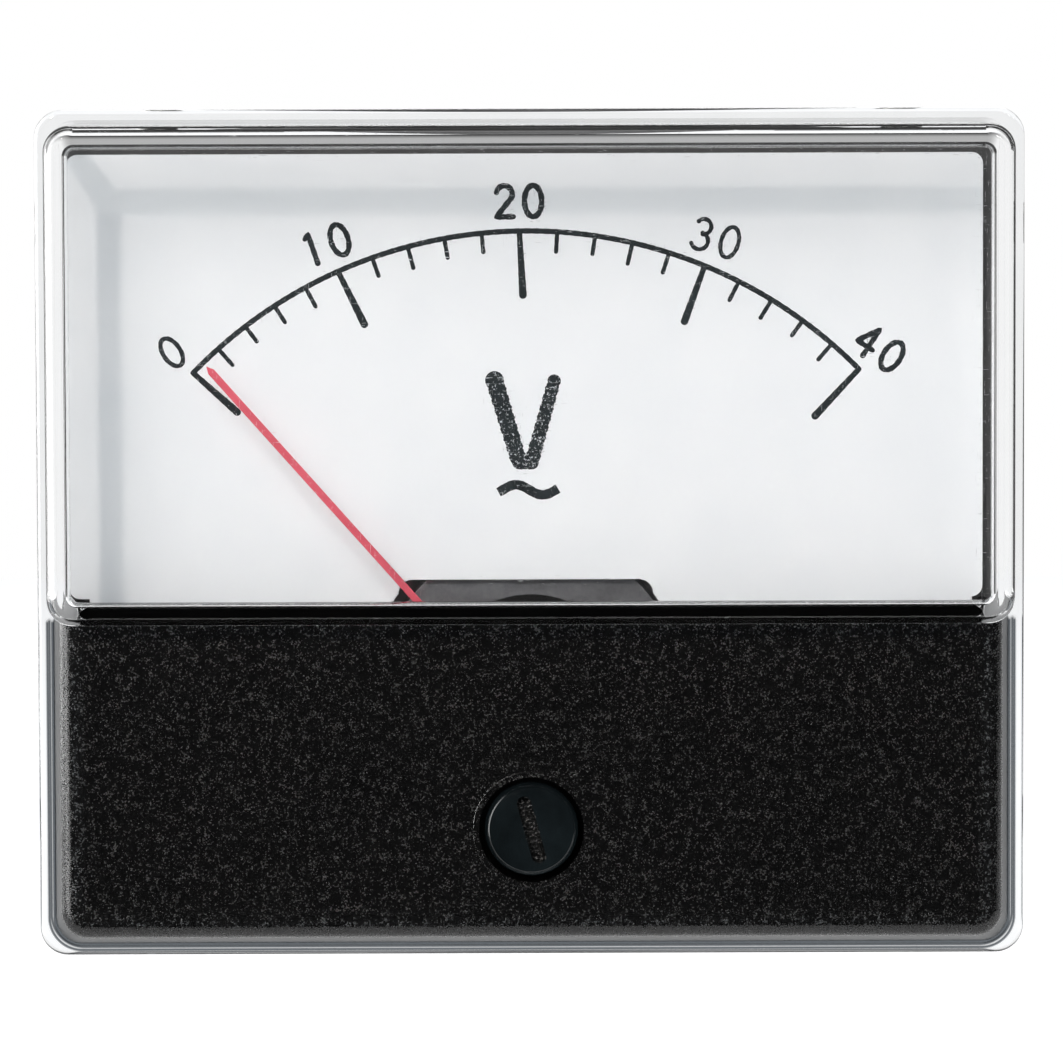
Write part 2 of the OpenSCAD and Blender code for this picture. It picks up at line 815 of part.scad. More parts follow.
module circuit_board() {
    color("darkgreen") difference() {
        slab(board_front, board_front + board_t)
            polygon([[-board_x, board_low], [board_x, board_low], [board_x, board_high - 4],
                [board_x - 5, board_high], [5 - board_x, board_high],
                [-board_x, board_high - 4]]);
        both_sides(terminal_spacing / 2, terminal_rise)
            rod(terminal_d / 2 + 0.1, board_front - over, board_front + board_t + over);
        for (x = diode_x) for (end = [-1, 1])
            translate([x, 0, diode_z + end * diode_span / 2]) lead_hole();
        both_sides(resistor_span / 2, resistor_z) lead_hole();
    }
}

module lead_hole() {
    rod(lead_r + seat, board_front - over, board_front + board_t + over);
}

// A part with a body on its lead, bent down through the board at both ends; it lies along Z
module axial_part(r, length, span) {
    lift = board_front - part_lift;
    translate([0, lift, -length / 2]) cylinder(r = r, h = length);
    translate([0, lift, -span / 2]) cylinder(r = lead_r, h = span);
    for (end = [-1, 1]) translate([0, 0, end * span / 2]) {
        rod(lead_r, lift, board_front + board_t + 0.6);
        translate([0, lift, 0]) sphere(r = lead_r);
    }
}

module rectifier_diodes() {
    color("firebrick") for (x = diode_x) translate([x, 0, diode_z])
        axial_part(0.9, 3.8, diode_span);
}

module range_resistor() {
    color("tan") translate([0, 0, resistor_z]) rotate([0, 90, 0])
        axial_part(1.1, 6.5, resistor_span);
}

module front_lead() {
    color("red") wire(front_wire, wire_r);
}

module rear_lead() {
    color("blue") wire(rear_wire, wire_r);
}

// ---------- zero adjuster ----------

module zero_screw() {
    dome_r = (head_d * head_d / 4 + head_dome * head_dome) / (2 * head_dome);
    head_back = mask_front - seat;
    color("#101012") translate([0, 0, adjuster_z]) {
        difference() {
            intersection() {
                rod(head_d / 2, head_edge_y - head_dome - over, head_back);
                translate([0, head_edge_y - head_dome + dome_r, 0]) sphere(r = dome_r);
            }
            rotate([0, slot_lean, 0])
                slab(head_edge_y - head_dome - over, head_edge_y - head_dome + slot_deep) {
                    square([slot_w, slot_len - slot_w], center = true);
                    for (end = [-1, 1]) translate([0, end * (slot_len - slot_w) / 2])
                        circle(d = slot_w);
                }
        }
        rod(neck_r, head_back - 0.1, mask_back + running + collar_t);
        rod(collar_r, mask_back + running, mask_back + running + collar_t);
        translate([0, 0, -crank_r])
            rod(crank_pin_d / 2, mask_back + running + 0.1, crank_pin_back);
    }
}

// A flat brass lever that turns on the front bridge's bush, forked round the crank pin
module zero_lever() {
    pin_at = pivot_drop - adjuster_drop - crank_r;
    fork_x = crank_pin_d / 2 + fork_play + fork_w;
    spring_front = pointer_front - collet_gap - (collet_t + spring_h) / 2;
    anchor_z = spring_out + anchor_r + seat;
    color("goldenrod") at_pivot() {
        difference() {
            slab(lever_front, lever_front + lever_t) {
                circle(r = bush_r + 1.2);
                translate([-lever_w / 2, pin_at + fork_len]) square([lever_w, -pin_at - fork_len]);
                translate([-fork_x, pin_at - fork_len / 2]) square([2 * fork_x, 2 * fork_len]);
                translate([-anchor_r * 2, 0]) square([anchor_r * 4, anchor_z + anchor_r]);
            }
            rod(bush_r + running, lever_front - over, lever_front + lever_t + over);
            translate([-crank_pin_d / 2 - fork_play, lever_front - over, pin_at - fork_len / 2 - over])
                cube([crank_pin_d + 2 * fork_play, lever_t + 2 * over, fork_len * 1.25 + over]);
        }
        translate([0, 0, anchor_z]) rod(anchor_r, lever_front + lever_t / 2,
            spring_front + spring_h);
    }
}

// ---------- moving part ----------

// Turns a piece that is drawn with the coil upright into its place at rest
module coil_turn() {
    at_pivot() rotate([0, coil_rest, 0]) children();
}

// A rectangular frame in the plane of the coil, between two half widths and two end gaps
module coil_band(inner, outer, width) {
    grow = outer - inner;
    end_in = inner - core_r - coil_gap + coil_end_gap;
    difference() {
        translate([-width / 2, ring_front - end_in - grow, -outer])
            cube([width, ring_len + 2 * (end_in + grow), 2 * outer]);
        translate([-width / 2 - over, ring_front - end_in, -inner])
            cube([width + 2 * over, ring_len + 2 * end_in, 2 * inner]);
    }
}

module coil_former() {
    color("silver") coil_turn() difference() {
        coil_band(coil_in, coil_out, coil_w);
        coil_band(coil_mid, coil_out + over, coil_w - 2 * former_t);
    }
}

module coil_winding() {
    color("chocolate") coil_turn()
        coil_band(coil_mid + seat / 3, coil_out - seat, coil_w - 2 * former_t - 2 * seat / 3);
}

// A foot that is glued to the coil, a staff, and a hardened point
module pivot_piece(foot, towards) {
    length = towards > 0 ? rear_screw_tip + jewel_inset - foot : foot - front_screw_tip + jewel_inset;
    shank = length + cup_deep - seat - tip_len;
    translate([0, foot, 0]) rotate([towards > 0 ? -90 : 90, 0, 0]) {
        cylinder(r = base_r, h = base_t);
        cylinder(r = staff_r, h = shank);
        translate([0, 0, shank]) cylinder(r1 = staff_r, r2 = 0.02, h = tip_len);
    }
}

module front_pivot() {
    color("gainsboro") at_pivot() pivot_piece(coil_front, -1);
}

module rear_pivot() {
    color("gainsboro") at_pivot() pivot_piece(coil_back, 1);
}

// A hub on the staff with three arms: two at the sides and one for the tail
module balance_cross() {
    color("silver") at_pivot() rotate([0, pointer_rest, 0]) difference() {
        slab(cross_front, cross_front + cross_t) {
            circle(r = base_r);
            translate([-arm_len, -arm_w / 2]) square([2 * arm_len, arm_w]);
            translate([-arm_w / 2, -tail_len]) square([arm_w, tail_len]);
        }
        rod(staff_r + seat, cross_front - over, cross_front + cross_t + over);
    }
}

// A small coil of wire pushed along an arm
module balance_weight(from, to) {
    middle = cross_front + cross_t / 2;
    difference() {
        translate([0, middle, from]) cylinder(r = weight_r, h = to - from);
        translate([-arm_w / 2 - seat / 3, middle - cross_t / 2 - seat / 3, from - over])
            cube([arm_w + 2 * seat / 3, cross_t + 2 * seat / 3, to - from + 2 * over]);
    }
}

module balance_weights() {
    color("goldenrod") at_pivot() rotate([0, pointer_rest, 0]) {
        rotate([0, 180, 0])
            balance_weight(tail_weight_at - tail_weight_len / 2,
                tail_weight_at + tail_weight_len / 2);
        for (side = [-1, 1]) rotate([0, 90 * side, 0])
            balance_weight(side_weight_at + side * side_weight_shift - side_weight_len / 2,
                side_weight_at + side * side_weight_shift + side_weight_len / 2);
    }
}

// A stamped blade with a cranked root that is fixed on the hub
module pointer() {
    left = -pointer_offset - pointer_w / 2;
    right = -pointer_offset + pointer_w / 2;
    tip = sqrt(pointer_len * pointer_len - pointer_offset * pointer_offset);
    root_low = 0.6;
    root_high = 3.6;
    color("#d04a6a") at_pivot() rotate([0, pointer_rest, 0]) difference() {
        union() {
            rod(base_r, pointer_front, pointer_front + pointer_t);
            slab(pointer_front, pointer_front + pointer_t)
                polygon([[left, root_low], [left, tip - pointer_w], [-pointer_offset, tip],
                    [right, tip - pointer_w], [right, root_high], [0.5, root_low + 0.5],
                    [0.5, root_low]]);
        }
        rod(staff_r + seat, pointer_front - over, pointer_front + pointer_t + over);
    }
}

module front_hairspring() {
    color("peru") at_pivot()
        hairspring(pointer_front - collet_gap - (collet_t + spring_h) / 2, 1);
}

module rear_hairspring() {
    color("peru") at_pivot()
        hairspring(coil_back + base_t + collet_gap + (collet_t - spring_h) / 2, -1);
}

front_cover();
front_mask();
base_housing();
dial_plate();
dial_screws();
panel_studs();
movement_frame();
frame_screws();
yoke_ring();
core_magnet();
front_bridge();
front_pillars();
front_bridge_screws();
front_jewel_screw();
rear_bridge();
rear_pillars();
rear_bridge_screws();
rear_jewel_screw();
jewels();
jewel_lock_nuts();
spring_anchor();
pointer_stops();
circuit_board();
rectifier_diodes();
range_resistor();
terminal_studs();
terminal_nuts();
terminal_washers();
spring_washers();
front_lead();
rear_lead();
zero_screw();
zero_lever();
coil_former();
coil_winding();
front_pivot();
rear_pivot();
balance_cross();
balance_weights();
pointer();
front_hairspring();
rear_hairspring();
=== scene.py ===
# %% [markdown]
# # Analog panel meter
# The object is a flush panel meter: a clear moulded cover over a white dial, a black lower
# face with a zero adjuster in it, and a round barrel with studs and terminals behind. The
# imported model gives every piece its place; this lesson gives it finer shapes and finishes.

# %% Load the frame
import json
import math

import bpy
from mathutils import Matrix, Vector


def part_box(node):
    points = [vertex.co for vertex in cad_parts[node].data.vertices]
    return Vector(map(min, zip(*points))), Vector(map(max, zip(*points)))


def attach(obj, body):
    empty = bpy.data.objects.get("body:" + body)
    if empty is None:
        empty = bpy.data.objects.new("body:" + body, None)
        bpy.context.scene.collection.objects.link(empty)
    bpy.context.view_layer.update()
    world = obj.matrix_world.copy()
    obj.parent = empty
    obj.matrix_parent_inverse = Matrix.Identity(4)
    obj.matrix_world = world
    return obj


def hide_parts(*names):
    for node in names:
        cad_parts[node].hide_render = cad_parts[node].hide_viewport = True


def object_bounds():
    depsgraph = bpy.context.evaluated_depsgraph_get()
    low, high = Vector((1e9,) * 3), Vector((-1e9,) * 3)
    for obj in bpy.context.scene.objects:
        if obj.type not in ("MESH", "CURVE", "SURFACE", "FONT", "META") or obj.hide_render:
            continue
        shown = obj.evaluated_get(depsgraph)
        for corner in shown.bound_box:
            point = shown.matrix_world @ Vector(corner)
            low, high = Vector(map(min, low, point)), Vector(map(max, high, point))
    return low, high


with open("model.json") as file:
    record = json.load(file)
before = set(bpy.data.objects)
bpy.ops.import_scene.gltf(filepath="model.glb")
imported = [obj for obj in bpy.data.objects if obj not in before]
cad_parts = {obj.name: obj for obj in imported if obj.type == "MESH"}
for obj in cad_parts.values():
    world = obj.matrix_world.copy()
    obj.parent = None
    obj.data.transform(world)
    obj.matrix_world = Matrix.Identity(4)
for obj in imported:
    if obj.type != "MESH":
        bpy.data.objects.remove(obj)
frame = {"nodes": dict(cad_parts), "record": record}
cad_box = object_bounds()
scene = bpy.context.scene
MM = 0.001

# %% [markdown]
# The camera stands straight in front of the meter and a little above its middle, far enough
# away that the sides look nearly parallel. The lens follows from the width of the view.

# %% Camera
camera_distance = 0.350
camera_rise = math.radians(3.0)
camera_roll = math.radians(-0.19)
view_width = 0.07533  # how much the view spans across at the front of the rim
look_at = Vector((0.00007, -0.0024, 0.00011))

camera_data = bpy.data.cameras.new("camera")
camera = bpy.data.objects.new("camera", camera_data)
scene.collection.objects.link(camera)
scene.camera = camera
camera.location = look_at + camera_distance * Vector(
    (0, -math.cos(camera_rise), math.sin(camera_rise)))
camera.rotation_euler = (
    Matrix.Rotation(math.radians(90) - camera_rise, 3, "X")
    @ Matrix.Rotation(camera_roll, 3, "Z")).to_euler()
camera_data.sensor_width = 36
camera_data.lens = camera_data.sensor_width * camera_distance / view_width
camera_data.clip_start = 0.01
print("lens:", round(camera_data.lens, 1), "mm")

# %% [markdown]
# The world is white where the camera sees it. As a light it is pale and weaker. In
# reflections it is dark in front of the meter and bright at the left, like a real room with
# a window, and seen through clear plastic it is white straight behind. A light path node
# tells these rays apart, and the direction of the ray gives the brightness.

# %% World
scene.view_settings.view_transform = "Standard"
world = bpy.data.worlds.new("studio")
scene.world = world
world.use_nodes = True
nodes, links = world.node_tree.nodes, world.node_tree.links
nodes.clear()


def background(colour, strength):
    """An even light from everywhere."""
    node = nodes.new("ShaderNodeBackground")
    node.inputs["Color"].default_value = (*colour, 1)
    node.inputs["Strength"].default_value = strength
    return node


def world_math(operation, *values):
    """A maths node; the values are sockets or numbers."""
    node = nodes.new("ShaderNodeMath")
    node.operation = operation
    for slot, value in zip(node.inputs, values):
        if isinstance(value, (int, float)):
            slot.default_value = value
        else:
            links.new(value, slot)
    return node.outputs[0]


def fade(value, start, end, dark, light):
    """Turns a direction into a brightness between dark and light."""
    node = nodes.new("ShaderNodeMapRange")
    for key, number in (("From Min", start), ("From Max", end),
                        ("To Min", dark), ("To Max", light)):
        node.inputs[key].default_value = number
    links.new(value, node.inputs["Value"])
    return node.outputs["Result"]


def choose(factor, otherwise, chosen):
    """Shows one shader where the factor is 1 and the other where it is 0."""
    node = nodes.new("ShaderNodeMixShader")
    for slot, socket in zip(node.inputs, (factor, otherwise, chosen)):
        links.new(socket, slot)
    return node.outputs[0]


ray = nodes.new("ShaderNodeLightPath").outputs
direction = nodes.new("ShaderNodeTexCoord")
toward = nodes.new("ShaderNodeSeparateXYZ")
links.new(direction.outputs["Generated"], toward.inputs["Vector"])
right, back, up = toward.outputs
window_light = 7
mirrored = world_math("MAXIMUM", fade(back, -0.1, 0.6, 0.02, 0.5),
                      fade(right, -0.6, -0.9, 0, window_light))
straight_back = world_math("MULTIPLY_ADD", world_math("ABSOLUTE", up), -2.2, back)
refracted = world_math("MAXIMUM", fade(straight_back, 0.2, 0.8, 0.04, 1),
                       fade(back, -0.3, -0.8, 0, 0.34))
room_seen = nodes.new("ShaderNodeMix")
for slot, socket in (("Factor", ray["Is Transmission Ray"]), ("A", mirrored), ("B", refracted)):
    links.new(socket, room_seen.inputs[slot])
room_mirror = background((1, 1, 1), 1)
links.new(room_seen.outputs["Result"], room_mirror.inputs["Strength"])
mirror_ray = world_math("MAXIMUM", ray["Is Glossy Ray"], ray["Is Transmission Ray"])
room_light = background((0.93, 0.96, 1), 0.30)
seen_by_camera = background((1, 1, 1), 1)
indoors = choose(mirror_ray, room_light.outputs[0], room_mirror.outputs[0])
world_out = nodes.new("ShaderNodeOutputWorld")
links.new(choose(ray["Is Camera Ray"], indoors, seen_by_camera.outputs[0]),
          world_out.inputs["Surface"])
print("world nodes:", len(nodes))

# %% [markdown]
# The lamps are plain: a small soft one at the upper left, a weaker one at the upper right and
# one behind. The key is small, because the window's edges throw a shade on the dial that has
# to stay readable. They could be spheres or the sun, but a square lamp is the easiest to size.


# %% Lamps
def soft_lamp(name, place, size, watts, colour):
    """A square lamp that looks at the middle of the meter. Clear plastic lets it through
    only by way of shadow rays, so refracted rays don't count it a second time."""
    data = bpy.data.lights.new(name, "AREA")
    data.shape = "RECTANGLE"
    data.size, data.size_y = size
    data.energy = watts
    data.color = colour
    lamp = bpy.data.objects.new(name, data)
    scene.collection.objects.link(lamp)
    lamp.visible_transmission = False
    lamp.location = place
    lamp.rotation_euler = (-Vector(place)).to_track_quat("-Z", "Y").to_euler()


soft_lamp("key_lamp", (-0.294, -0.90, 0.41), (0.045, 0.045), 3.5, (1, 0.96, 0.93))
soft_lamp("fill_lamp", (0.34, -0.92, 0.37), (0.16, 0.16), 0.78, (1, 0.98, 0.96))
soft_lamp("back_lamp", (0.1, 0.9, 0.7), (0.5, 0.5), 2.0, (1, 1, 1))

# %% [markdown]
# The floor is a plain pale sheet some way below the meter, which hangs in a panel and doesn't
# stand by itself. It shines a little, so that it is nearly white but still keeps shadows.

# %% Floor
floor_drop = 0.06
bpy.ops.object.select_all(action="DESELECT")
bpy.ops.mesh.primitive_plane_add(size=1.5, location=(0, 0.65, cad_box[0][2] - floor_drop))
floor = bpy.context.active_object
floor.name = "floor"
paper = bpy.data.materials.new("floor_paper")
paper.use_nodes = True
paper_shader = paper.node_tree.nodes["Principled BSDF"]
paper_shader.inputs["Base Color"].default_value = (0.8, 0.8, 0.8, 1)
paper_shader.inputs["Roughness"].default_value = 0.9
paper_shader.inputs["Specular IOR Level"].default_value = 0
paper_shader.inputs["Emission Color"].default_value = (1, 1, 1, 1)
paper_shader.inputs["Emission Strength"].default_value = 0.74
floor.data.materials.append(paper)
print("floor height:", round(floor.location.z, 4))

# %% [markdown]
# ## Finishes
# Every finish is made from a few nodes: one colour that wanders a little, a roughness that
# wanders too, and a fine relief. The patterns read Object coordinates, so they stay put when
# a piece moves. Sizes of patterns are given in millimetres.


# %% Helpers for finishes
class Finish:
    """A material with a Principled shader and small helpers to wire patterns into it."""

    def __init__(self, name):
        self.material = bpy.data.materials.new(name)
        self.material.use_nodes = True
        self.tree = self.material.node_tree
        self.shader = self.tree.nodes["Principled BSDF"]
        self.out = self.tree.nodes["Material Output"]
        self.coords = self.node("ShaderNodeTexCoord").outputs["Object"]

    def node(self, kind, **values):
        node = self.tree.nodes.new(kind)
        for key, value in values.items():
            setattr(node, key, value)
        return node

    def link(self, a, b):
        self.tree.links.new(a, b)

    def set(self, **values):
        for key, value in values.items():
            self.shader.inputs[key.replace("_", " ")].default_value = value
        return self

    def stretched(self, x, y, z):
        """Coordinates stretched by those factors, for a pattern with a direction."""
        mapping = self.node("ShaderNodeMapping")
        mapping.inputs["Scale"].default_value = (x, y, z)
        self.link(self.coords, mapping.inputs["Vector"])
        return mapping.outputs["Vector"]

    def noise(self, size_mm, detail=3, rough=0.5, coords=None):
        node = self.node("ShaderNodeTexNoise")
        node.inputs["Scale"].default_value = 1 / (size_mm * MM)
        node.inputs["Detail"].default_value = detail
        node.inputs["Roughness"].default_value = rough
        self.link(coords or self.coords, node.inputs["Vector"])
        return node.outputs["Fac"]

    def range(self, value, low, high, to_low, to_high):
        node = self.node("ShaderNodeMapRange")
        for key, number in (("From Min", low), ("From Max", high),
                            ("To Min", to_low), ("To Max", to_high)):
            node.inputs[key].default_value = number
        self.link(value, node.inputs["Value"])
        return node.outputs["Result"]

    def math(self, operation, *values):
        node = self.node("ShaderNodeMath", operation=operation)
        for slot, value in zip(node.inputs, values):
            if isinstance(value, (int, float)):
                slot.default_value = value
            else:
                self.link(value, slot)
        return node.outputs[0]

    def mix(self, factor, colour_a, colour_b):
        node = self.node("ShaderNodeMix", data_type="RGBA")
        self.link(factor, node.inputs["Factor"])
        for slot, value in ((6, colour_a), (7, colour_b)):
            if isinstance(value, tuple):
                node.inputs[slot].default_value = (*value, 1)
            else:
                self.link(value, node.inputs[slot])
        return node.outputs[2]

    def relief(self, height, depth_mm, strength=1.0):
        node = self.node("ShaderNodeBump")
        node.inputs["Distance"].default_value = depth_mm * MM
        node.inputs["Strength"].default_value = strength
        self.link(height, node.inputs["Height"])
        self.link(node.outputs["Normal"], self.shader.inputs["Normal"])

    def into(self, socket, name):
        self.link(socket, self.shader.inputs[name])
        return self


def plastic(name, dark, light, patch_mm, rough_low, rough_high, grain_mm, grain_depth):
    """Moulded plastic: slow patches of colour, uneven gloss and a fine grain."""
    f = Finish(name)
    patches = f.range(f.noise(patch_mm, 4, 0.6), 0.3, 0.7, 0, 1)
    f.into(f.mix(patches, dark, light), "Base Color")
    grain = f.noise(grain_mm, 2, 0.6)
    f.into(f.range(f.noise(patch_mm / 3, 5, 0.7), 0.3, 0.7, rough_low, rough_high), "Roughness")
    f.relief(grain, grain_depth)
    return f


def metal(name, dark, light, streak, rough_low, rough_high, relief_mm=0.004):
    """Machined metal: fine streaks along one direction over slow stains."""
    f = Finish(name).set(Metallic=1)
    lines = f.noise(0.25, 3, 0.7, f.stretched(*streak))
    stain = f.noise(3.0, 4, 0.6)
    blend = f.math("ADD", f.math("MULTIPLY", lines, 0.4), f.math("MULTIPLY", stain, 0.6))
    f.into(f.mix(f.range(blend, 0.35, 0.65, 0, 1), dark, light), "Base Color")
    f.into(f.range(lines, 0.3, 0.7, rough_low, rough_high), "Roughness")
    f.relief(lines, relief_mm)
    return f


print("helpers ready")

# %% [markdown]
# ### Clear plastic
# The cover is one moulding of clear acrylic. It could be plain glass, but glass stops lamps
# in this renderer, so a shadow ray passes it as if it was thin. Round the window's edges the
# real plastic bends the light away, and there the stand-in for shadow rays is darker.


# %% Clear plastic
def clear_plastic(name, shadow_tint):
    """Acrylic that lets lamps through; shadow_tint is how much light gets past it."""
    f = Finish(name).set(Transmission_Weight=1, IOR=1.49)
    f.into(f.mix(f.noise(9, 2), (0.985, 0.992, 0.995), (0.993, 0.996, 0.998)), "Base Color")
    through = f.node("ShaderNodeBsdfTransparent")
    through.inputs["Color"].default_value = (*shadow_tint, 1)
    light_path = f.node("ShaderNodeLightPath")
    blend = f.node("ShaderNodeMixShader")
    f.link(light_path.outputs["Is Shadow Ray"], blend.inputs["Fac"])
    f.link(f.shader.outputs["BSDF"], blend.inputs[1])
    f.link(through.outputs[0], blend.inputs[2])
    f.link(blend.outputs[0], f.out.inputs["Surface"])
    return f


def add_scratches(f, rough_low, rough_high, depth_mm):
    """Fine wear: hairlines both ways and dull specks."""
    lines = f.noise(0.5, 2, 0.6, f.stretched(14, 1, 0.5))
    cross = f.noise(0.5, 2, 0.6, f.stretched(0.5, 1, 11))
    wear = f.math("MAXIMUM", f.range(lines, 0.70, 0.78, 0, 1), f.range(cross, 0.70, 0.78, 0, 1))
    f.into(f.range(wear, 0, 1, rough_low, rough_high), "Roughness")
    f.relief(wear, depth_mm)


clear_gloss = clear_plastic("clear_gloss", (0.99, 0.995, 1))
add_scratches(clear_gloss, 0.0, 0.10, 0.002)
clear_front = clear_plastic("clear_window_front", (0.90, 0.91, 0.92))
add_scratches(clear_front, 0.0, 0.10, 0.002)
clear_edge = clear_plastic("clear_window_edge", (0.24, 0.29, 0.33))
add_scratches(clear_edge, 0.0, 0.06, 0.001)
clear_top = clear_plastic("clear_window_top", (0.50, 0.55, 0.58))
add_scratches(clear_top, 0.0, 0.06, 0.001)
clear_rim = clear_plastic("clear_rim", (0.97, 0.97, 0.97))
clear_rim.into(clear_rim.range(clear_rim.noise(0.8, 3), 0.3, 0.7, 0.01, 0.06), "Roughness")
# Painted shade: the lower side walls are tinted dark, standing for the black mask seen through
# them.
clear_wall_painted_dark = clear_plastic("clear_lower_wall_painted_shade", (0.9, 0.9, 0.9))
clear_wall_painted_dark.into(clear_wall_painted_dark.mix(clear_wall_painted_dark.noise(1.5, 3), (0.010, 0.012, 0.014),
                               (0.06, 0.065, 0.07)), "Base Color")
clear_step = clear_plastic("clear_step", (0.9, 0.92, 0.93)).set(IOR=1.12)
clear_step.into(clear_step.range(clear_step.noise(0.2, 3), 0.3, 0.7, 0.05, 0.2), "Roughness")
print("clear plastic ready")

# %% [markdown]
# The lower face is the same plastic with a sparkling texture, as if it was sand-blasted in
# the mould: little pits of about 0.2 mm with polished spots between them.

# %% Textured plastic
clear_texture = clear_plastic("clear_texture", (0.9, 0.92, 0.93))
grain = clear_texture.noise(0.12, 3, 0.6)
coarse = clear_texture.noise(0.7, 2, 0.5)
pits = clear_texture.math("ADD", grain, clear_texture.math("MULTIPLY", coarse, 0.4))
clear_texture.into(clear_texture.range(pits, 0.5, 0.9, 0.18, 0.30), "Roughness")
clear_texture.relief(clear_texture.range(pits, 0.78, 1.00, 0, 1), 0.016)
print("textured plastic ready")

# %% [markdown]
# ## The cover
# The whole front is one clear moulding. It is made as such a part is drawn: boxes that taper
# towards the front, with their corners and front edges rounded, joined together and hollowed
# by the same kind of boxes, one wall thickness smaller.


# %% Modelling helpers
def only(*objects):
    """Selects these objects, the last one active, and nothing else."""
    bpy.ops.object.select_all(action="DESELECT")
    for obj in objects:
        obj.select_set(True)
    bpy.context.view_layer.objects.active = objects[-1]


def pick(obj, kind, test):
    """Goes into edit mode with the vertices, edges or faces selected that pass the test."""
    only(obj)
    mesh = obj.data
    bpy.ops.object.mode_set(mode="EDIT")
    bpy.ops.mesh.select_mode(type=kind)
    bpy.ops.mesh.select_all(action="DESELECT")
    bpy.ops.object.mode_set(mode="OBJECT")
    chosen = {"VERT": mesh.vertices, "EDGE": mesh.edges, "FACE": mesh.polygons}[kind]
    hits = 0
    for element in chosen:
        if kind == "VERT":
            element.select = test(element.co)
        elif kind == "EDGE":
            element.select = test(*[mesh.vertices[i].co for i in element.vertices])
        else:
            element.select = test(element.center, element.normal)
        hits += element.select
    bpy.ops.object.mode_set(mode="EDIT")
    return hits


def object_mode():
    bpy.ops.object.mode_set(mode="OBJECT")


def block(name, low, high):
    """A box between two corners, with its own origin at the frame's origin."""
    bpy.ops.object.select_all(action="DESELECT")
    size = [b - a for a, b in zip(low, high)]
    middle = [(a + b) / 2 for a, b in zip(low, high)]
    bpy.ops.mesh.primitive_cube_add(size=1, location=middle, scale=size)
    obj = bpy.context.active_object
    obj.name = name
    bpy.ops.object.transform_apply(location=True, rotation=False, scale=True)
    return obj


def drum(name, radius, y_low, y_high, x=0, z=0, sides=96):
    """A cylinder along Y."""
    bpy.ops.object.select_all(action="DESELECT")
    bpy.ops.mesh.primitive_cylinder_add(
        vertices=sides, radius=radius, depth=y_high - y_low,
        location=(x, (y_low + y_high) / 2, z), rotation=(math.radians(90), 0, 0))
    obj = bpy.context.active_object
    obj.name = name
    bpy.ops.object.transform_apply(location=True, rotation=True, scale=True)
    return obj


def boolean(target, tool, operation):
    """Joins or cuts two solids, and deletes the tool."""
    only(target)
    bpy.ops.object.modifier_add(type="BOOLEAN")
    modifier = target.modifiers[-1]
    modifier.operation, modifier.object, modifier.solver = operation, tool, "EXACT"
    bpy.ops.object.modifier_apply(modifier=modifier.name)
    only(tool)
    bpy.ops.object.delete()


def moulded_box(name, back, front, corner_r, edge_r):
    """A tapered box. back and front are (half width, low z, high z, y), all in metres."""
    x0, low0, high0, y0 = back
    x1, low1, high1, y1 = front
    box = block(name, (-x0, y1, low0), (x0, y0, high0))
    near_front = 1e-7
    pick(box, "VERT", lambda co: co.y < y1 + near_front)
    bpy.ops.transform.resize(
        value=(x1 / x0, 1, (high1 - low1) / (high0 - low0)),
        center_override=(0, y1, (low0 + high0) / 2))
    bpy.ops.transform.translate(value=(0, 0, (low1 + high1 - low0 - high0) / 2))
    object_mode()
    pick(box, "EDGE", lambda a, b: abs(a.y - b.y) > near_front)
    bpy.ops.mesh.bevel(offset=corner_r, segments=12, affect="EDGES", clamp_overlap=False)
    object_mode()
    if edge_r:
        pick(box, "EDGE", lambda a, b: max(a.y, b.y) < y1 + near_front)
        bpy.ops.mesh.bevel(offset=edge_r, segments=10, affect="EDGES", clamp_overlap=False)
        object_mode()
    return box


print("modelling helpers ready")

# %% [markdown]
# The sizes of the cover come next. Half widths are given from the middle, and depths are
# negative, because the front looks along -Y and the panel lies at 0. The rim is widest, the
# lower face lies back, and the window box stands out furthest.

# %% Sizes of the cover
rim_x, rim_z, rim_y = 35 * MM, 30 * MM, -2.4 * MM
box_x, box_z, box_y = 34 * MM, 29.35 * MM, -2.41 * MM
wall = 1.25 * MM
face_x, face_low, face_y = 32.65 * MM, -27.65 * MM, -10.5 * MM
window_x, window_low, window_high = 33.25 * MM, -5.75 * MM, 28.5 * MM
window_y = -14 * MM
floor_z = window_low + wall  # the floor inside the window box
hole_r, hole_z = 3.65 * MM, -20.2 * MM
low_corner, high_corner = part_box("front_cover")
print("cover in the frame:", [round(v / MM, 2) for v in (*low_corner, *high_corner)])

edge_band = 1.4 * MM  # width of the window box's front edge that bends light away
print("window:", round(2 * window_x / MM, 1), "by", round((window_high - window_low) / MM, 1))

# %% [markdown]
# The outside is a low block for the rim with two tapered boxes on it. Everything could be
# extruded from one block, but then the step between the lower face and the window would be
# hard to round. The window's front gets an inner ring of faces for its own finish.

# %% The outside of the cover
cover = block("cover", (-rim_x, rim_y, -rim_z), (rim_x, 0, rim_z))
pick(cover, "EDGE", lambda a, b: abs(a.y - b.y) > 1e-6)
bpy.ops.mesh.bevel(offset=2.0 * MM, segments=12, affect="EDGES")
object_mode()
pick(cover, "EDGE", lambda a, b: max(a.y, b.y) < rim_y + 1e-7)
bpy.ops.mesh.bevel(offset=0.4 * MM, segments=6, affect="EDGES")
object_mode()
lower_box = moulded_box("lower_box", (box_x, -box_z, 0.2 * MM, -1.2 * MM),
                        (face_x, face_low, 0.2 * MM, face_y), 1.8 * MM, 0.95 * MM)
boolean(cover, lower_box, "UNION")
window_box = moulded_box("window_box", (box_x, window_low, box_z, -1.2 * MM),
                         (window_x, window_low, window_high, window_y), 1.8 * MM, 0.9 * MM)
pick(window_box, "FACE", lambda centre, normal: normal.y < -0.999)
bpy.ops.mesh.inset(thickness=edge_band - 0.9 * MM, depth=0)
object_mode()
boolean(cover, window_box, "UNION")
print("outside:", len(cover.data.polygons), "faces")

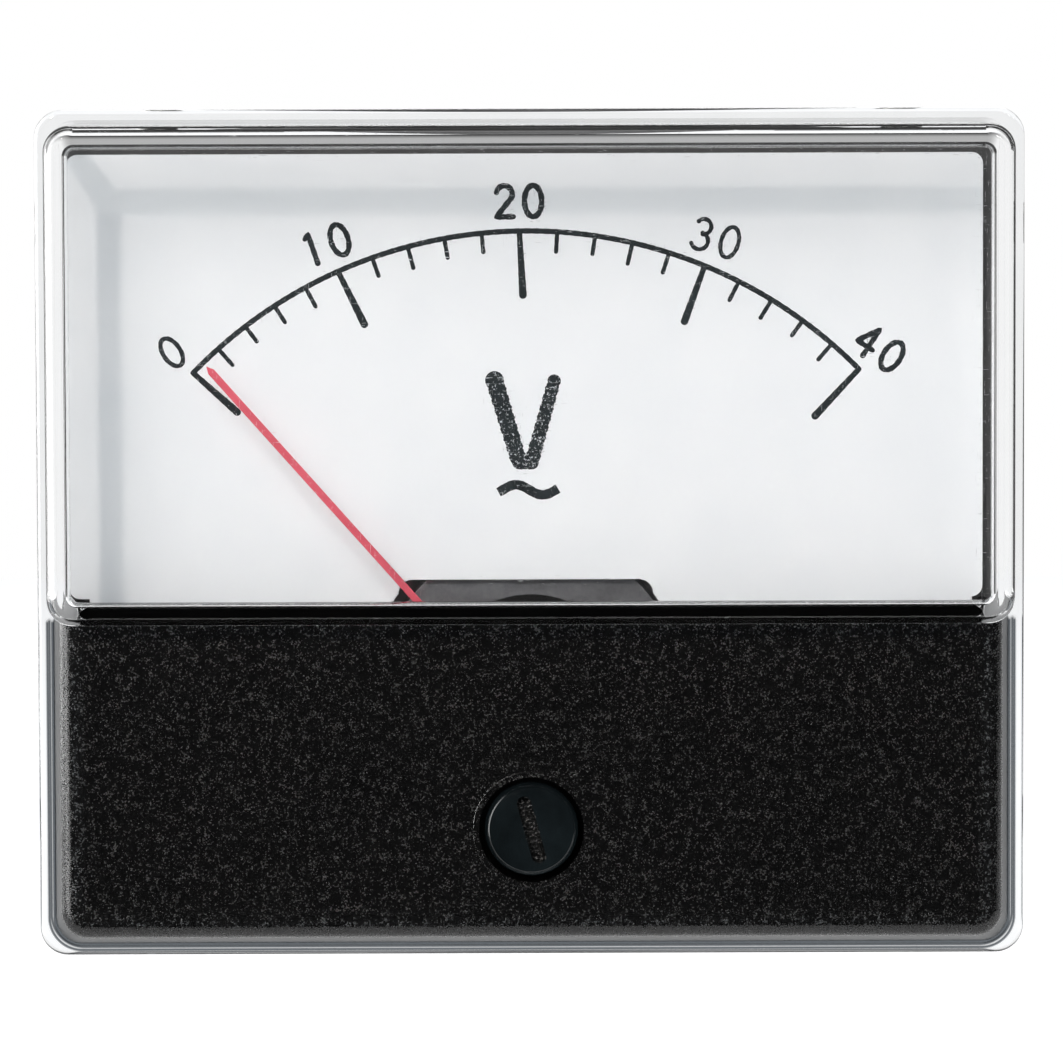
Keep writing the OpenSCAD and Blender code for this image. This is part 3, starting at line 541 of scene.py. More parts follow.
# %% [markdown]
# The inside is cut out by the same boxes, one wall smaller. A Solidify modifier would do it
# in one step, but it gives poor corners where the two boxes meet.

# %% The hollow of the cover
inner_x, inner_z = box_x - wall, box_z - wall
hollow = moulded_box("hollow", (inner_x, -inner_z, inner_z, 0.5 * MM),
                     (inner_x, -inner_z, inner_z, rim_y - 0.05 * MM), 0.8 * MM, 0)
boolean(cover, hollow, "DIFFERENCE")
touch = 0.07 * MM  # the clear plastic lies on the black mask without an air gap
lower_hollow = moulded_box("lower_hollow", (inner_x - touch, -inner_z + touch, 0, box_y),
                           (face_x - wall - 2 * touch, face_low + wall + 2.4 * touch,
                            floor_z - touch, face_y + wall + touch), 0.8 * MM, 0.4 * MM)
boolean(cover, lower_hollow, "DIFFERENCE")
window_hollow = moulded_box("window_hollow", (inner_x, floor_z, inner_z, box_y),
                            (window_x - wall, floor_z, window_high - wall, window_y + wall),
                            0.8 * MM, 0.4 * MM)
boolean(cover, window_hollow, "DIFFERENCE")
print("hollowed:", len(cover.data.polygons), "faces")

# %% [markdown]
# Where the adjuster comes through there is a low lip round the hole. A short drum is added,
# its front edge is rounded, and the hole is then cut through both.

# %% The lip and the hole for the adjuster
lip = drum("lip", hole_r + 0.45 * MM, face_y - 0.10 * MM, face_y + 0.5 * MM, 0, hole_z)
pick(lip, "EDGE", lambda a, b: max(a.y, b.y) < face_y - 0.09 * MM)
bpy.ops.mesh.bevel(offset=0.09 * MM, segments=4, affect="EDGES")
object_mode()
boolean(cover, lip, "UNION")
hole = drum("hole", hole_r, face_y - 1 * MM, face_y + wall + 1 * MM, 0, hole_z)
boolean(cover, hole, "DIFFERENCE")
print("with hole:", len(cover.data.polygons), "faces")

# %% [markdown]
# Four small hooks inside the rim hold the housing. They are plain blocks that run into the
# wall.

# %% Hooks
hook_x, hook_w, hook_t, hook_reach, hook_lift = (
    14.7 * MM, 5 * MM, 0.8 * MM, 0.5 * MM, 0.25 * MM)
for side in (-1, 1):
    for end in (-1, 1):
        inner = end * (inner_z - hook_reach)
        outer = end * (inner_z + 0.5 * MM)
        hook = block("hook", (side * hook_x - hook_w / 2, -hook_lift - hook_t, min(inner, outer)),
                     (side * hook_x + hook_w / 2, -hook_lift, max(inner, outer)))
        boolean(cover, hook, "UNION")
print("with hooks:", len(cover.data.polygons), "faces")

# %% [markdown]
# Seen from the front, the rim below the window is dark with one light line in it. Most
# likely that is the black mask, which the plastic bends into view, so no second piece is put
# behind the rim. It is a painted refraction instead: a dark tint with one lighter line,
# painted into the rim's colour by how far in from the rim's edge a point lies.

# %% The rim's painted dark band
rim_math = clear_rim.math
rim_place = clear_rim.node("ShaderNodeSeparateXYZ")
clear_rim.link(clear_rim.coords, rim_place.inputs[0])
rim_bend, low_shift = 3 * MM, 0.3 * MM  # the band's corner, and how far it is moved down
band_at, line_at, soft = 0.58 * MM, 0.87 * MM, 0.06 * MM  # in from the rim's edge
out_x = rim_math("SUBTRACT", rim_math("ABSOLUTE", rim_place.outputs["X"]), rim_x - rim_bend)
out_z = rim_math("SUBTRACT", rim_math("MULTIPLY", rim_place.outputs["Z"], -1),
                 rim_z + low_shift - rim_bend)
squares = [rim_math("POWER", rim_math("MAXIMUM", out, 0), 2) for out in (out_x, out_z)]
inside = rim_math("SUBTRACT", rim_bend, rim_math("SQRT", rim_math("ADD", *squares)))
off_line = rim_math("ABSOLUTE", rim_math("SUBTRACT", inside, line_at))
band = rim_math("MULTIPLY", clear_rim.range(inside, band_at - soft, band_at + soft, 0, 1),
                clear_rim.range(off_line, 0.05 * MM, 0.12 * MM, 0.25, 1))
below = clear_rim.range(rim_place.outputs["Z"], window_low - 0.5 * MM, window_low - 0.2 * MM,
                        1, 0)
rim_tint = clear_rim.mix(clear_rim.noise(3, 3), (0.87, 0.88, 0.885), (0.95, 0.955, 0.96))
# Painted refraction: the band darkens the rim's colour, standing for the black mask seen through
# the plastic.
clear_rim.into(clear_rim.mix(rim_math("MULTIPLY", band, below), rim_tint,
                             (0.020, 0.024, 0.028)), "Base Color")
print("dark band ready")

# %% [markdown]
# Each face of the cover gets its finish by where it is: the lower face and its rounding are
# textured, the rounding of the window box bends light away, the lower side walls are tinted
# dark as painted shade, the rim is a little duller and all the rest is polished.

# %% Finishes of the cover
cover_finishes = {"gloss": clear_gloss, "texture": clear_texture, "edge": clear_edge,
                  "rim": clear_rim, "front": clear_front, "top": clear_top,
                  "step": clear_step, "wall": clear_wall_painted_dark}
cover.data.materials.clear()
for finish in cover_finishes.values():
    cover.data.materials.append(finish.material)


def cover_finish(centre, normal):
    """The name of the finish for a face at that place."""
    faces_front = normal.y < -0.05
    sideways = max(abs(normal.x), -normal.z) > 0.6
    # Lower side walls: the finish with the painted shade.
    if sideways and centre.z < window_low and face_y + 0.8 * MM < centre.y < rim_y:
        return "wall"
    if faces_front and centre.z < window_low - 0.01 * MM and centre.y < rim_y - 1 * MM:
        return "texture"
    rounding = faces_front and centre.y < window_y + 0.9 * MM and centre.z > window_low
    over_wall = (abs(centre.x) > window_x - edge_band or centre.z > window_high - edge_band
                 or centre.z < window_low + edge_band)
    if rounding and over_wall:
        if normal.z < -0.4:
            return "step"
        return "top" if centre.z > window_high - edge_band else "edge"
    if centre.z > 0 and min(abs(normal.x), normal.z) > 0.3 and centre.y < rim_y:
        return "top"
    if centre.y > rim_y - 0.01 * MM:
        return "rim"
    if normal.y < -0.999 and centre.y < window_y + 0.01 * MM:
        return "front"
    return "gloss"


counts = dict.fromkeys(cover_finishes, 0)
finish_order = list(cover_finishes)
for polygon in cover.data.polygons:
    chosen = cover_finish(polygon.center, polygon.normal)
    polygon.material_index = finish_order.index(chosen)
    counts[chosen] += 1
print("faces by finish:", counts)

# %% [markdown]
# Faces that meet at less than 32 degrees are shaded as one. Weighted normals keep the large
# flat faces flat, which matters on clear plastic, because a false bend there is seen at once.

# %% Smooth the cover
only(cover)
bpy.ops.object.shade_smooth_by_angle(angle=math.radians(32))
bpy.ops.object.modifier_add(type="WEIGHTED_NORMAL")
cover.modifiers[-1].keep_sharp = True
bpy.ops.object.modifier_apply(modifier=cover.modifiers[-1].name)
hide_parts("front_cover")
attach(cover, "case")
print("cover done")

# %% [markdown]
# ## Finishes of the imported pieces
# The dial is white paint with a few specks of dust and hairline scratches. The plastics are
# black with a fine grain. The metals have streaks round or along the way they were turned.
# The dial's specks come from a Voronoi pattern, because dust lies in single dots, and a noise
# pattern would give clouds.

# %% Dial paint
dial_paint = Finish("dial_paint").set(Specular_IOR_Level=0.1)
cloud = dial_paint.range(dial_paint.noise(7, 3, 0.6), 0.3, 0.7, 0, 1)
paint = dial_paint.mix(cloud, (0.80, 0.825, 0.85), (0.84, 0.86, 0.88))
speck = dial_paint.node("ShaderNodeTexVoronoi", feature="F1")
speck.inputs["Scale"].default_value = 1 / (4.2 * MM)
dial_paint.link(dial_paint.coords, speck.inputs["Vector"])
dots = dial_paint.range(speck.outputs["Distance"], 0.014, 0.03, 1, 0)
some = dial_paint.range(dial_paint.noise(5, 1), 0.50, 0.56, 0, 0.75)
paint = dial_paint.mix(dial_paint.math("MULTIPLY", dots, some), paint, (0.16, 0.17, 0.18))
hair = dial_paint.noise(0.6, 1, 0.5, dial_paint.stretched(16, 1, 0.8))
paint = dial_paint.mix(dial_paint.range(hair, 0.78, 0.82, 0, 0.25), paint, (0.62, 0.65, 0.68))
dial_paint.into(paint, "Base Color")
dial_paint.into(dial_paint.range(cloud, 0, 1, 0.45, 0.6), "Roughness")
dial_paint.relief(dial_paint.noise(0.3, 2), 0.002)
print("dial paint ready")

# %% [markdown]
# The plastics all come from one helper. The mask has no gloss, as it touches the clear
# plastic and there is no air in front of it that it could shine in.

# %% Plastics, board and wires
mask_black = plastic("mask_black", (0.0005, 0.0005, 0.0006), (0.0015, 0.0015, 0.0015), 5,
                     0.28, 0.45, 0.12, 0.004).set(Specular_IOR_Level=0)
housing_black = plastic("housing_black", (0.014, 0.014, 0.015), (0.026, 0.026, 0.027), 9,
                        0.42, 0.58, 0.16, 0.012)
# The adjuster's black leans blue-green: a painted sheen, standing for the bluish room the glossy
# head mirrors.
adjuster_black = plastic("adjuster_black", (0.004, 0.006, 0.007), (0.010, 0.015, 0.017), 3,
                         0.08, 0.16, 0.25, 0.004)
# The slot's floor: rougher than the head, and painted darker as painted shade in the recess.
slot_rough_and_shaded = plastic("slot_rough_and_shaded", (0.001, 0.001, 0.001), (0.004, 0.004, 0.004), 0.5,
                     0.10, 0.30, 0.22, 0.10)
board_green = plastic("board_green", (0.03, 0.13, 0.06), (0.05, 0.20, 0.09), 6,
                      0.35, 0.5, 0.1, 0.004)
diode_glass = plastic("diode_glass", (0.42, 0.10, 0.03), (0.62, 0.20, 0.07), 1.2,
                      0.08, 0.2, 0.1, 0.001)
resistor_body = plastic("resistor_body", (0.52, 0.38, 0.22), (0.66, 0.52, 0.33), 2,
                        0.35, 0.5, 0.1, 0.003)
red_wire = plastic("red_wire", (0.42, 0.02, 0.02), (0.56, 0.04, 0.04), 3, 0.3, 0.45, 0.1, 0.002)
blue_wire = plastic("blue_wire", (0.02, 0.06, 0.38), (0.04, 0.10, 0.5), 3, 0.3, 0.45, 0.1, 0.002)
pointer_red = plastic("pointer_red", (0.54, 0.045, 0.080), (0.66, 0.080, 0.12), 2.5,
                      0.35, 0.5, 0.12, 0.002)
ruby = plastic("ruby", (0.45, 0.01, 0.05), (0.6, 0.03, 0.09), 0.6, 0.04, 0.1, 0.1, 0.0005)
print("plastics ready")

# %% [markdown]
# The metals differ in colour and in the way their streaks run: round for turned pieces, along
# for drawn ones and across for rolled sheet. Cast pieces have no direction.

# %% Metals
TURNED, DRAWN, ROLLED = (1, 6, 1), (1, 0.15, 1), (4, 1, 0.4)
zinc_steel = metal("zinc_steel", (0.46, 0.46, 0.44), (0.68, 0.68, 0.66), DRAWN, 0.22, 0.42)
brass = metal("brass", (0.52, 0.36, 0.14), (0.76, 0.57, 0.27), TURNED, 0.2, 0.38)
die_casting = metal("die_casting", (0.34, 0.34, 0.35), (0.50, 0.50, 0.51), (1, 1, 1), 0.4, 0.6)
soft_iron = metal("soft_iron", (0.11, 0.11, 0.115), (0.19, 0.19, 0.20), TURNED, 0.35, 0.55)
magnet_alloy = metal("magnet_alloy", (0.30, 0.30, 0.32), (0.42, 0.42, 0.44), (1, 1, 1), 0.4, 0.6)
bare_aluminium = metal("bare_aluminium", (0.62, 0.63, 0.65), (0.80, 0.81, 0.82), ROLLED,
                       0.25, 0.45)
copper_winding = metal("copper_winding", (0.48, 0.16, 0.06), (0.72, 0.30, 0.14), (1, 9, 1),
                       0.25, 0.4, 0.02)
hard_steel = metal("hard_steel", (0.42, 0.43, 0.45), (0.60, 0.61, 0.63), TURNED, 0.12, 0.25)
spring_bronze = metal("spring_bronze", (0.48, 0.30, 0.14), (0.66, 0.44, 0.22), ROLLED, 0.25, 0.4)
print("metals ready")

# %% [markdown]
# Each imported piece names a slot. A table turns the slot's name into a finish, so that a
# piece can't be left without one.

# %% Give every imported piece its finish
finish_of_slot = {
    "black_mask": mask_black, "black_housing": housing_black, "black_gloss": adjuster_black,
    "dial_white": dial_paint, "zinc_steel": zinc_steel, "brass": brass,
    "die_casting": die_casting, "soft_iron": soft_iron, "magnet_alloy": magnet_alloy,
    "ruby": ruby, "board_green": board_green, "diode_glass": diode_glass,
    "resistor_body": resistor_body, "red_wire": red_wire, "blue_wire": blue_wire,
    "bare_aluminium": bare_aluminium, "copper_winding": copper_winding,
    "hard_steel": hard_steel, "pointer_red": pointer_red, "spring_bronze": spring_bronze,
    "clear_plastic": clear_gloss,
}
for part in frame["record"]["subparts"]:
    node = frame["nodes"][part["node"]]
    node.data.materials.clear()
    node.data.materials.append(finish_of_slot[part["material_slot"]].material)

# %% [markdown]
# ## The printed scale
# The scale is stamped ink: lines of one width with round ends, a little ragged, with white
# flecks where the ink missed. Each stroke is a curve whose radius wanders. The curves become
# a mesh which is then pressed flat on the dial.

# %% Ink
def stamped_ink(name, fleck_mm, fleck_low, fleck_high):
    """Dark ink with flecks through which the dial shows."""
    f = Finish(name).set(Specular_IOR_Level=0.1)
    body = f.mix(f.range(f.noise(1.5, 3), 0.3, 0.7, 0, 1), (0.004, 0.008, 0.010),
                 (0.012, 0.018, 0.021))
    flecks = f.range(f.noise(fleck_mm, 3, 0.65), fleck_low, fleck_high, 0, 0.9)
    f.into(f.mix(flecks, body, (0.66, 0.69, 0.72)), "Base Color")
    f.into(f.range(flecks, 0, 1, 0.42, 0.6), "Roughness")
    f.relief(f.noise(0.1, 2), 0.002)
    return f


scale_ink = stamped_ink("scale_ink", 0.13, 0.66, 0.72)
worn_ink = stamped_ink("worn_ink", 0.16, 0.58, 0.66)
dial_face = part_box("dial_plate")[0][1]
print("dial face at", round(dial_face / MM, 2), "mm")

# %% [markdown]
# A stroke could be a flat strip of faces, but its ends and joints would be fiddly. A curve
# with a thickness at each point gives round ends by itself: the last points shrink along a
# circle. Two slow waves make the width wander.

# %% Strokes
ink_step = 0.07  # mm between the points along a stroke


def along(points):
    """Points at even steps along a line of straight pieces, with the length so far."""
    out, done = [], 0.0
    for (x0, z0), (x1, z1) in zip(points, points[1:]):
        length = math.hypot(x1 - x0, z1 - z0)
        steps = max(1, round(length / ink_step))
        for i in range(steps):
            t = i / steps
            out.append((x0 + (x1 - x0) * t, z0 + (z1 - z0) * t, done + length * t))
        done += length
    out.append((*points[-1], done))
    return out


def stroke(curve, points, width, seed=0.0, ragged=0.10, round_ends=True, swell=0.0):
    """Adds one inked stroke, in mm. swell makes its end wider than its start."""
    line = along(points)
    total = line[-1][2]
    knots = []
    for x, z, s in line:
        wander = math.sin(9.1 * s + 5 * seed) + 0.8 * math.sin(23.7 * s + 11 * seed)
        radius = width / 2 * (1 + ragged * wander * 0.55 + swell * (s / total - 0.5))
        knots.append((x, z, radius))
    if round_ends:
        for at, inner in ((0, 1), (-1, -2)):
            (x, z, r), (xi, zi, _) = knots[at], knots[inner]
            away = math.hypot(x - xi, z - zi)
            cap = [(x + (x - xi) / away * r * t, z + (z - zi) / away * r * t,
                    r * math.sqrt(1 - t * t)) for t in (0.35, 0.65, 0.87, 0.985)]
            knots = cap[::-1] + knots if at == 0 else knots + cap
    spline = curve.splines.new("POLY")
    spline.points.add(len(knots) - 1)
    for point, (x, z, r) in zip(spline.points, knots):
        point.co = (x * MM, 0, z * MM, 1)
        point.radius = r * MM


def pressed(name, curve, ink):
    """Turns the strokes into a mesh and presses them flat on the dial."""
    curve.dimensions = "3D"
    curve.bevel_mode = "ROUND"
    curve.bevel_depth = 1.0
    curve.bevel_resolution = 2
    curve.use_fill_caps = True
    obj = bpy.data.objects.new(name, curve)
    scene.collection.objects.link(obj)
    only(obj)
    bpy.ops.object.convert(target="MESH")
    obj = bpy.context.active_object
    bpy.ops.object.mode_set(mode="EDIT")
    bpy.ops.mesh.select_all(action="SELECT")
    bpy.ops.mesh.remove_doubles(threshold=1e-6)
    bpy.ops.transform.resize(value=(1, 0.05, 1), center_override=(0, 0, 0))
    bpy.ops.transform.translate(value=(0, dial_face, 0))
    bpy.ops.object.mode_set(mode="OBJECT")
    bpy.ops.object.shade_smooth()
    obj.data.materials.clear()
    obj.data.materials.append(ink.material)
    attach(obj, "case")
    return obj


def ink_curve(name):
    return bpy.data.curves.new(name, "CURVE")


print("strokes ready")

# %% [markdown]
# The scale is not quite even: a meter with rectifiers reads a little close at the start. A
# small bulge is added to an even rule, and the major marks follow from it.

# %% Scale arc and marks
print_x, print_z = -0.22, -11.5  # mm, middle of the scale's arc
arc_r, arc_w = 32.86, 0.38
scale_start, scale_end = -45.7, 45.4


def mark_angle(value):
    """Degrees from upright, clockwise, of a value between 0 and 40."""
    u = value / 40
    return (scale_start + (scale_end - scale_start) * u
            - 1.9 * math.sin(math.pi * u) * (1 - u) ** 1.4)


def polar(r, degrees):
    a = math.radians(degrees)
    return print_x + r * math.sin(a), print_z + r * math.cos(a)


lines = ink_curve("scale_lines")
stroke(lines, [polar(arc_r, scale_start + (scale_end - scale_start) * i / 160)
               for i in range(161)], arc_w, 0.3, 0.09, False)
for value in range(0, 41, 2):
    angle = mark_angle(value)
    if value % 10:
        stroke(lines, [polar(arc_r, angle), polar(31.45 - 0.12 * math.sin(value), angle)],
               0.30, value, 0.10)
    else:
        length = 4.5 if value in (20, 40) else 4.15
        stroke(lines, [polar(arc_r, angle), polar(arc_r - length, angle + 0.35)],
               0.46, value, 0.06, True, 0.35)
scale_lines = pressed("scale_lines", lines, scale_ink)
print("scale:", len(scale_lines.data.polygons), "faces")

# %% [markdown]
# A font would do for the numbers, but stamped numbers have their own plain shapes. Each is
# written as one or two strokes, and leans with its place on the arc.

# %% Digits


def turn_of(cx, cz, rx, rz, start, stop, steps=24):
    """Points on part of an ellipse, degrees from the right, anticlockwise."""
    return [(cx + rx * math.cos(math.radians(start + (stop - start) * i / steps)),
             cz + rz * math.sin(math.radians(start + (stop - start) * i / steps)))
            for i in range(steps + 1)]


digit_w, digit_h = 1.22, 2.2
glyphs = {
    "0": [turn_of(0, 0, digit_w / 2, digit_h / 2, 90, 448)],
    "1": [[(-0.30, 0.78), (0.02, 1.02), (0.06, -1.1)]],
    "2": [turn_of(0, 0.52, 0.56, 0.58, 168, -32, 16) + [(-0.58, -1.08), (0.62, -1.08)]],
    "3": [turn_of(-0.03, 0.54, 0.52, 0.54, 150, -82, 16),
          turn_of(-0.05, -0.50, 0.60, 0.60, 84, -150, 16)],
    "4": [[(0.28, -1.1), (0.28, 1.06), (-0.64, -0.42), (0.66, -0.42)]],
}
label_r, label_turn, digit_gap = 34.95, 0.74, 2.02
label_w = {"0": 0.32, "10": 0.38, "20": 0.40, "30": 0.30, "40": 0.38}


def place(points, angle, cx, cz):
    """Turns points clockwise about their own middle and moves them."""
    c, s = math.cos(math.radians(angle)), math.sin(math.radians(angle))
    return [(cx + x * c + z * s, cz - x * s + z * c) for x, z in points]


digits = ink_curve("digits")
for number, (text, width) in enumerate(label_w.items()):
    mark = mark_angle(10 * number)
    cx, cz = polar(label_r, mark)
    for i, letter in enumerate(text):
        shift = (i - (len(text) - 1) / 2) * digit_gap
        for part in glyphs[letter]:
            moved = [(x + shift, z) for x, z in part]
            stroke(digits, place(moved, mark * label_turn, cx, cz), width,
                   number + 0.37 * i, 0.14)
digits = pressed("digits", digits, scale_ink)
print("digits:", len(digits.data.polygons), "faces")

# %% [markdown]
# The unit letter is three broad strokes, more worn than the rest. The sign below it is one
# wave of a sine.

# %% Unit letter and the sign for alternating voltage
unit = ink_curve("unit_letter")
stroke(unit, [(-2.50, 10.85), (-0.80, 5.15)], 1.18, 0.2, 0.10, True, -0.10)
stroke(unit, [(1.70, 10.80), (0.12, 5.15)], 0.95, 1.7, 0.12, True, 0.10)
stroke(unit, [(-0.80, 5.05), (0.12, 5.05)], 0.95, 2.6, 0.05)
unit_letter = pressed("unit_letter", unit, worn_ink)
wave = ink_curve("wave_sign")
stroke(wave, [(-2.25 + 4.2 * i / 40,
               3.13 + 0.36 * math.sin(math.radians(360 * (1.12 * i / 40 - 0.08))))
              for i in range(41)], 0.68, 0.9, 0.05, False)
wave_sign = pressed("wave_sign", wave, scale_ink)
print("unit letter and wave:", len(unit_letter.data.polygons), len(wave_sign.data.polygons),
      "faces")

# %% [markdown]
# ## The adjuster
# The screw head is a domed button with a driver slot. A drum's end is inset again and again,
# each ring a little further forward, so that the rings follow a sphere. A squashed sphere
# would be quicker, but its rings would be crowded at the middle and not at the rim.

# %% Adjuster head
head_r, head_rise, head_rim_y = 3.25 * MM, 0.30 * MM, -10.48 * MM
head_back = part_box("front_mask")[0][1] - 0.02 * MM
sphere_r = (head_r ** 2 + head_rise ** 2) / (2 * head_rise)
head = drum("adjuster_head", head_r, head_rim_y, head_back, 0, hole_z)
pick(head, "FACE", lambda centre, normal: normal.y < -0.9)
rings = 10
radius = head_r
for ring in range(1, rings):
    smaller = head_r * (1 - ring / rings)
    rise = (math.sqrt(sphere_r ** 2 - smaller ** 2) - math.sqrt(sphere_r ** 2 - radius ** 2))
    bpy.ops.mesh.inset(thickness=radius - smaller, depth=0)
    bpy.ops.transform.translate(value=(0, -rise, 0))
    radius = smaller
object_mode()
pick(head, "EDGE", lambda a, b: abs(a.y - head_rim_y) < 1e-7 and abs(b.y - head_rim_y) < 1e-7)
bpy.ops.mesh.bevel(offset=0.55 * MM, segments=10, affect="EDGES")
object_mode()
print("head:", [round(v / MM, 2) for v in head.dimensions])

# %% [markdown]
# The slot has round ends, sharp rims and a rough floor, which is painted darker than the head
# as painted shade in the recess. A block with a drum at each end is cut out of the head. It
# leans a little, as the last hand left it.

# %% Driver slot
slot_len, slot_w, slot_deep, slot_lean = 4.8 * MM, 1.0 * MM, 0.9 * MM, -15.5
slot_front = head_rim_y - head_rise
slot = block("slot", (-slot_w / 2, slot_front - 1 * MM, -(slot_len - slot_w) / 2),
             (slot_w / 2, slot_front + slot_deep, (slot_len - slot_w) / 2))
for end in (-1, 1):
    boolean(slot, drum("slot_end", slot_w / 2, slot_front - 1 * MM, slot_front + slot_deep,
                       0, end * (slot_len - slot_w) / 2, 48), "UNION")
only(slot)
slot.rotation_euler = (0, math.radians(slot_lean), 0)
slot.location = (0, 0, hole_z)
bpy.ops.object.transform_apply(location=True, rotation=True, scale=True)
boolean(head, slot, "DIFFERENCE")
print("slot cut:", len(head.data.polygons), "faces")

# %% [markdown]
# Behind the head come a neck in the mask's hole, a collar that keeps the screw in, and the
# crank pin that moves the lever. They are plain drums joined to the head.

# %% Neck, collar and crank pin
mask_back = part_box("front_mask")[0][1] + 0.7 * MM
screw_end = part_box("zero_screw")[1][1]
collar_y = mask_back + 0.05 * MM
crank_r = 1.4 * MM
boolean(head, drum("neck", 2 * MM, head_back - 0.1 * MM, collar_y + 0.2 * MM, 0, hole_z), "UNION")
boolean(head, drum("collar", 2.6 * MM, collar_y, collar_y + 0.4 * MM, 0, hole_z), "UNION")
boolean(head, drum("crank_pin", 0.6 * MM, collar_y + 0.1 * MM, screw_end, 0,
                   hole_z - crank_r, 32), "UNION")
slot_floor_y = slot_front + slot_deep
head.data.materials.clear()
for finish in (adjuster_black, slot_rough_and_shaded):
    head.data.materials.append(finish.material)
rough = 0
# The slot's floor gets the rough finish with the painted shade.
for polygon in head.data.polygons:
    if abs(polygon.center.y - slot_floor_y) < 1e-6:
        polygon.material_index = 1
        rough += 1
only(head)
bpy.ops.object.shade_smooth_by_angle(angle=math.radians(30))
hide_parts("zero_screw")
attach(head, "adjuster")
print("adjuster:", [round(v / MM, 2) for v in head.dimensions], rough, "rough faces")

# %% [markdown]
# ## Screw threads
# The studs show their thread. A small flat profile is wound up round Y, which gives a ridge
# like the real thread's, and a drum of the thread's core size fills the inside. A texture
# would be cheaper, but the thread is seen from the side.


# %% Thread helper
def threaded_rod(name, radius, pitch, place, y_low, y_high, threads):
    """A rod at place (x, z) from y_low to y_high, threaded over the given stretches, in mm."""
    x, z = place
    core = radius - 0.5 * pitch
    pieces = [drum(name, core * MM, y_low * MM, y_high * MM, 0, 0, 32)]
    pick(pieces[0], "EDGE", lambda a, b: min(a.y, b.y) > y_high * MM - 1e-7)
    bpy.ops.mesh.bevel(offset=0.3 * MM, segments=1, affect="EDGES")
    object_mode()
    for start, stop in threads:
        bpy.ops.object.select_all(action="DESELECT")
        bpy.ops.mesh.primitive_plane_add(size=1)
        ridge = bpy.context.active_object
        inner, outer = (core - 0.08) * MM, radius * MM
        ridge.scale = (outer - inner, 0.92 * pitch * MM, 1)
        ridge.location = ((inner + outer) / 2, (start + pitch / 2) * MM, 0)
        bpy.ops.object.transform_apply(location=True, rotation=True, scale=True)
        pick(ridge, "VERT", lambda co: co.x > (inner + outer) / 2)
        bpy.ops.transform.resize(value=(1, 0.14, 1),
                                 center_override=(outer, (start + pitch / 2) * MM, 0))
        object_mode()
        bpy.ops.object.modifier_add(type="SCREW")
        wind = ridge.modifiers[-1]
        wind.axis = "Y"
        wind.angle = 2 * math.pi
        wind.screw_offset = pitch * MM
        wind.iterations = int((stop - start) / pitch - 1)
        wind.steps = wind.render_steps = 28
        bpy.ops.object.modifier_apply(modifier=wind.name)
        bpy.ops.object.mode_set(mode="EDIT")
        bpy.ops.mesh.select_all(action="SELECT")
        bpy.ops.mesh.remove_doubles(threshold=1e-7)
        bpy.ops.mesh.select_all(action="DESELECT")
        bpy.ops.mesh.select_mode(type="EDGE")
        bpy.ops.mesh.select_non_manifold()
        bpy.ops.mesh.fill_holes(sides=0)
        bpy.ops.mesh.select_all(action="SELECT")
        bpy.ops.mesh.normals_make_consistent(inside=False)
        object_mode()
        pieces.append(ridge)
    only(*pieces[::-1])
    bpy.ops.object.join()
    rod = bpy.context.active_object
    rod.location = (x * MM, 0, z * MM)
    bpy.ops.object.transform_apply(location=True, rotation=False, scale=False)
    return rod


def finish_piece(pieces, name, finish, node):
    """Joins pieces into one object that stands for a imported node."""
    only(*pieces)
    bpy.ops.object.join()
    obj = bpy.context.active_object
    obj.name = name
    bpy.ops.object.shade_smooth_by_angle(angle=math.radians(30))
    obj.data.materials.clear()
    obj.data.materials.append(finish.material)
    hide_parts(node)
    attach(obj, "case")
    return obj


# %% [markdown]
# The terminal studs are brass, with a collar between the circuit board and the back of the
# housing. The free thread starts behind a narrow groove, where the tool ran out.

# %% Terminal studs, M4
terminal_x, terminal_z = 13, 9  # from here on sizes are in mm
collar_low, collar_high, groove_low, groove_high = 17.4, 21.0, 30.8, 31.4
stud_low, stud_high = (corner[1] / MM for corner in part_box("terminal_studs"))
pieces = []
for side in (-1, 1):
    pieces.append(threaded_rod("terminal_stud", 2.0, 0.7, (side * terminal_x, terminal_z),
                               stud_low, stud_high,
                               ((stud_low + 0.2, collar_low), (collar_high, groove_low),
                                (groove_high, stud_high - 0.2))))
    pieces.append(drum("collar", 3.5 * MM, collar_low * MM, collar_high * MM,
                       side * terminal_x * MM, terminal_z * MM, 64))
terminal_studs = finish_piece(pieces, "terminal_studs_threaded", brass, "terminal_studs")
print("terminal studs:", len(terminal_studs.data.polygons), "faces")

# %% [markdown]
# The four panel studs are steel. Each has a flat head in the flange and a plain shank up to
# the panel's face, and only the free end is threaded.

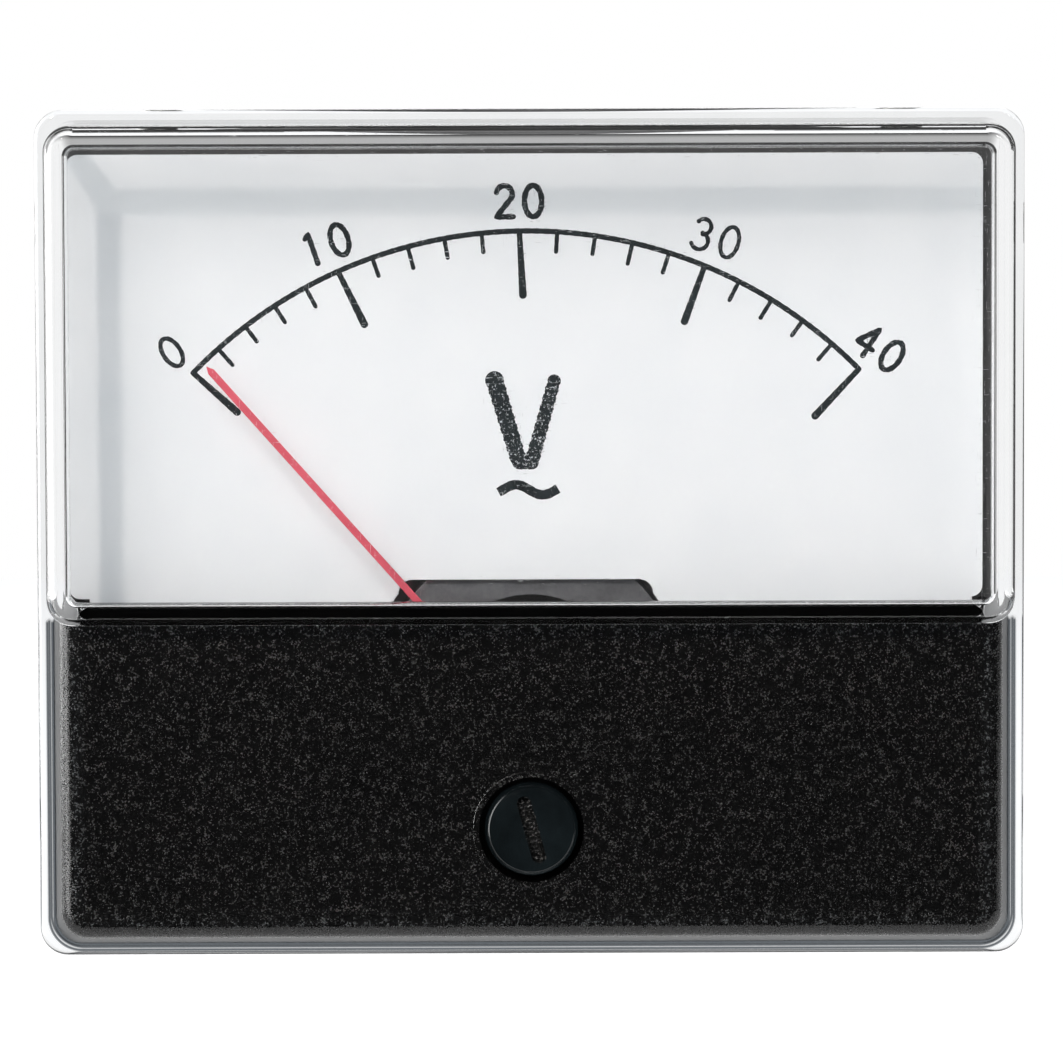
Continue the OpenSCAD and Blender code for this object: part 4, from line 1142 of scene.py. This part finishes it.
# %% Panel studs, M3
panel_x, panel_z, panel_stud_tip = 27, 22, 14
pieces = []
for x, z in ((-panel_x, -panel_z), (-panel_x, panel_z), (panel_x, -panel_z), (panel_x, panel_z)):
    pieces.append(threaded_rod("panel_stud", 1.5, 0.5, (x, z), -0.1, panel_stud_tip,
                               ((0.1, panel_stud_tip - 0.2),)))
    pieces.append(drum("stud_head", 2.6 * MM, -2.4 * MM, -1.0 * MM, x * MM, z * MM, 48))
    pieces.append(drum("shank", 1.75 * MM, -1.1 * MM, 0, x * MM, z * MM, 48))
panel_studs = finish_piece(pieces, "panel_studs_threaded", zinc_steel, "panel_studs")
print("panel studs:", len(panel_studs.data.polygons), "faces")

# %% [markdown]
# The terminal nuts are hexagons with their corners turned off on both sides. A blunt cone
# shape, which is a bevelled drum, is met with the hexagon, and then the hole is cut.

# %% Terminal nuts
nut_flats, nut_t, nut_fronts = 7, 2.4, (13.8, 24.3, 28.4)
corner_r = nut_flats / math.sqrt(3)
pieces = []
for side in (-1, 1):
    for front in nut_fronts:
        nut = drum("nut", corner_r * MM, front * MM, (front + nut_t) * MM,
                   side * terminal_x * MM, terminal_z * MM, 6)
        pick(nut, "VERT", lambda co: True)
        bpy.ops.transform.rotate(value=math.radians(30), orient_axis="Y", center_override=(
            side * terminal_x * MM, 0, terminal_z * MM))
        object_mode()
        turned = drum("turned", (corner_r + 0.02) * MM, (front - 0.001) * MM,
                      (front + nut_t + 0.001) * MM, side * terminal_x * MM, terminal_z * MM, 96)
        pick(turned, "EDGE", lambda a, b: abs(a.y - b.y) < 1e-7)
        bpy.ops.mesh.bevel(offset=0.42 * MM, segments=4, profile=0.62, affect="EDGES")
        object_mode()
        boolean(nut, turned, "INTERSECT")
        boolean(nut, drum("bore", 2.02 * MM, (front - 1) * MM, (front + nut_t + 1) * MM,
                          side * terminal_x * MM, terminal_z * MM, 48), "DIFFERENCE")
        pieces.append(nut)
terminal_nuts = finish_piece(pieces, "terminal_nuts_turned", brass, "terminal_nuts")
print("terminal nuts:", len(terminal_nuts.data.polygons), "faces",
      [round(v / MM, 2) for v in terminal_nuts.dimensions])

# %% The end
print("scene ready")
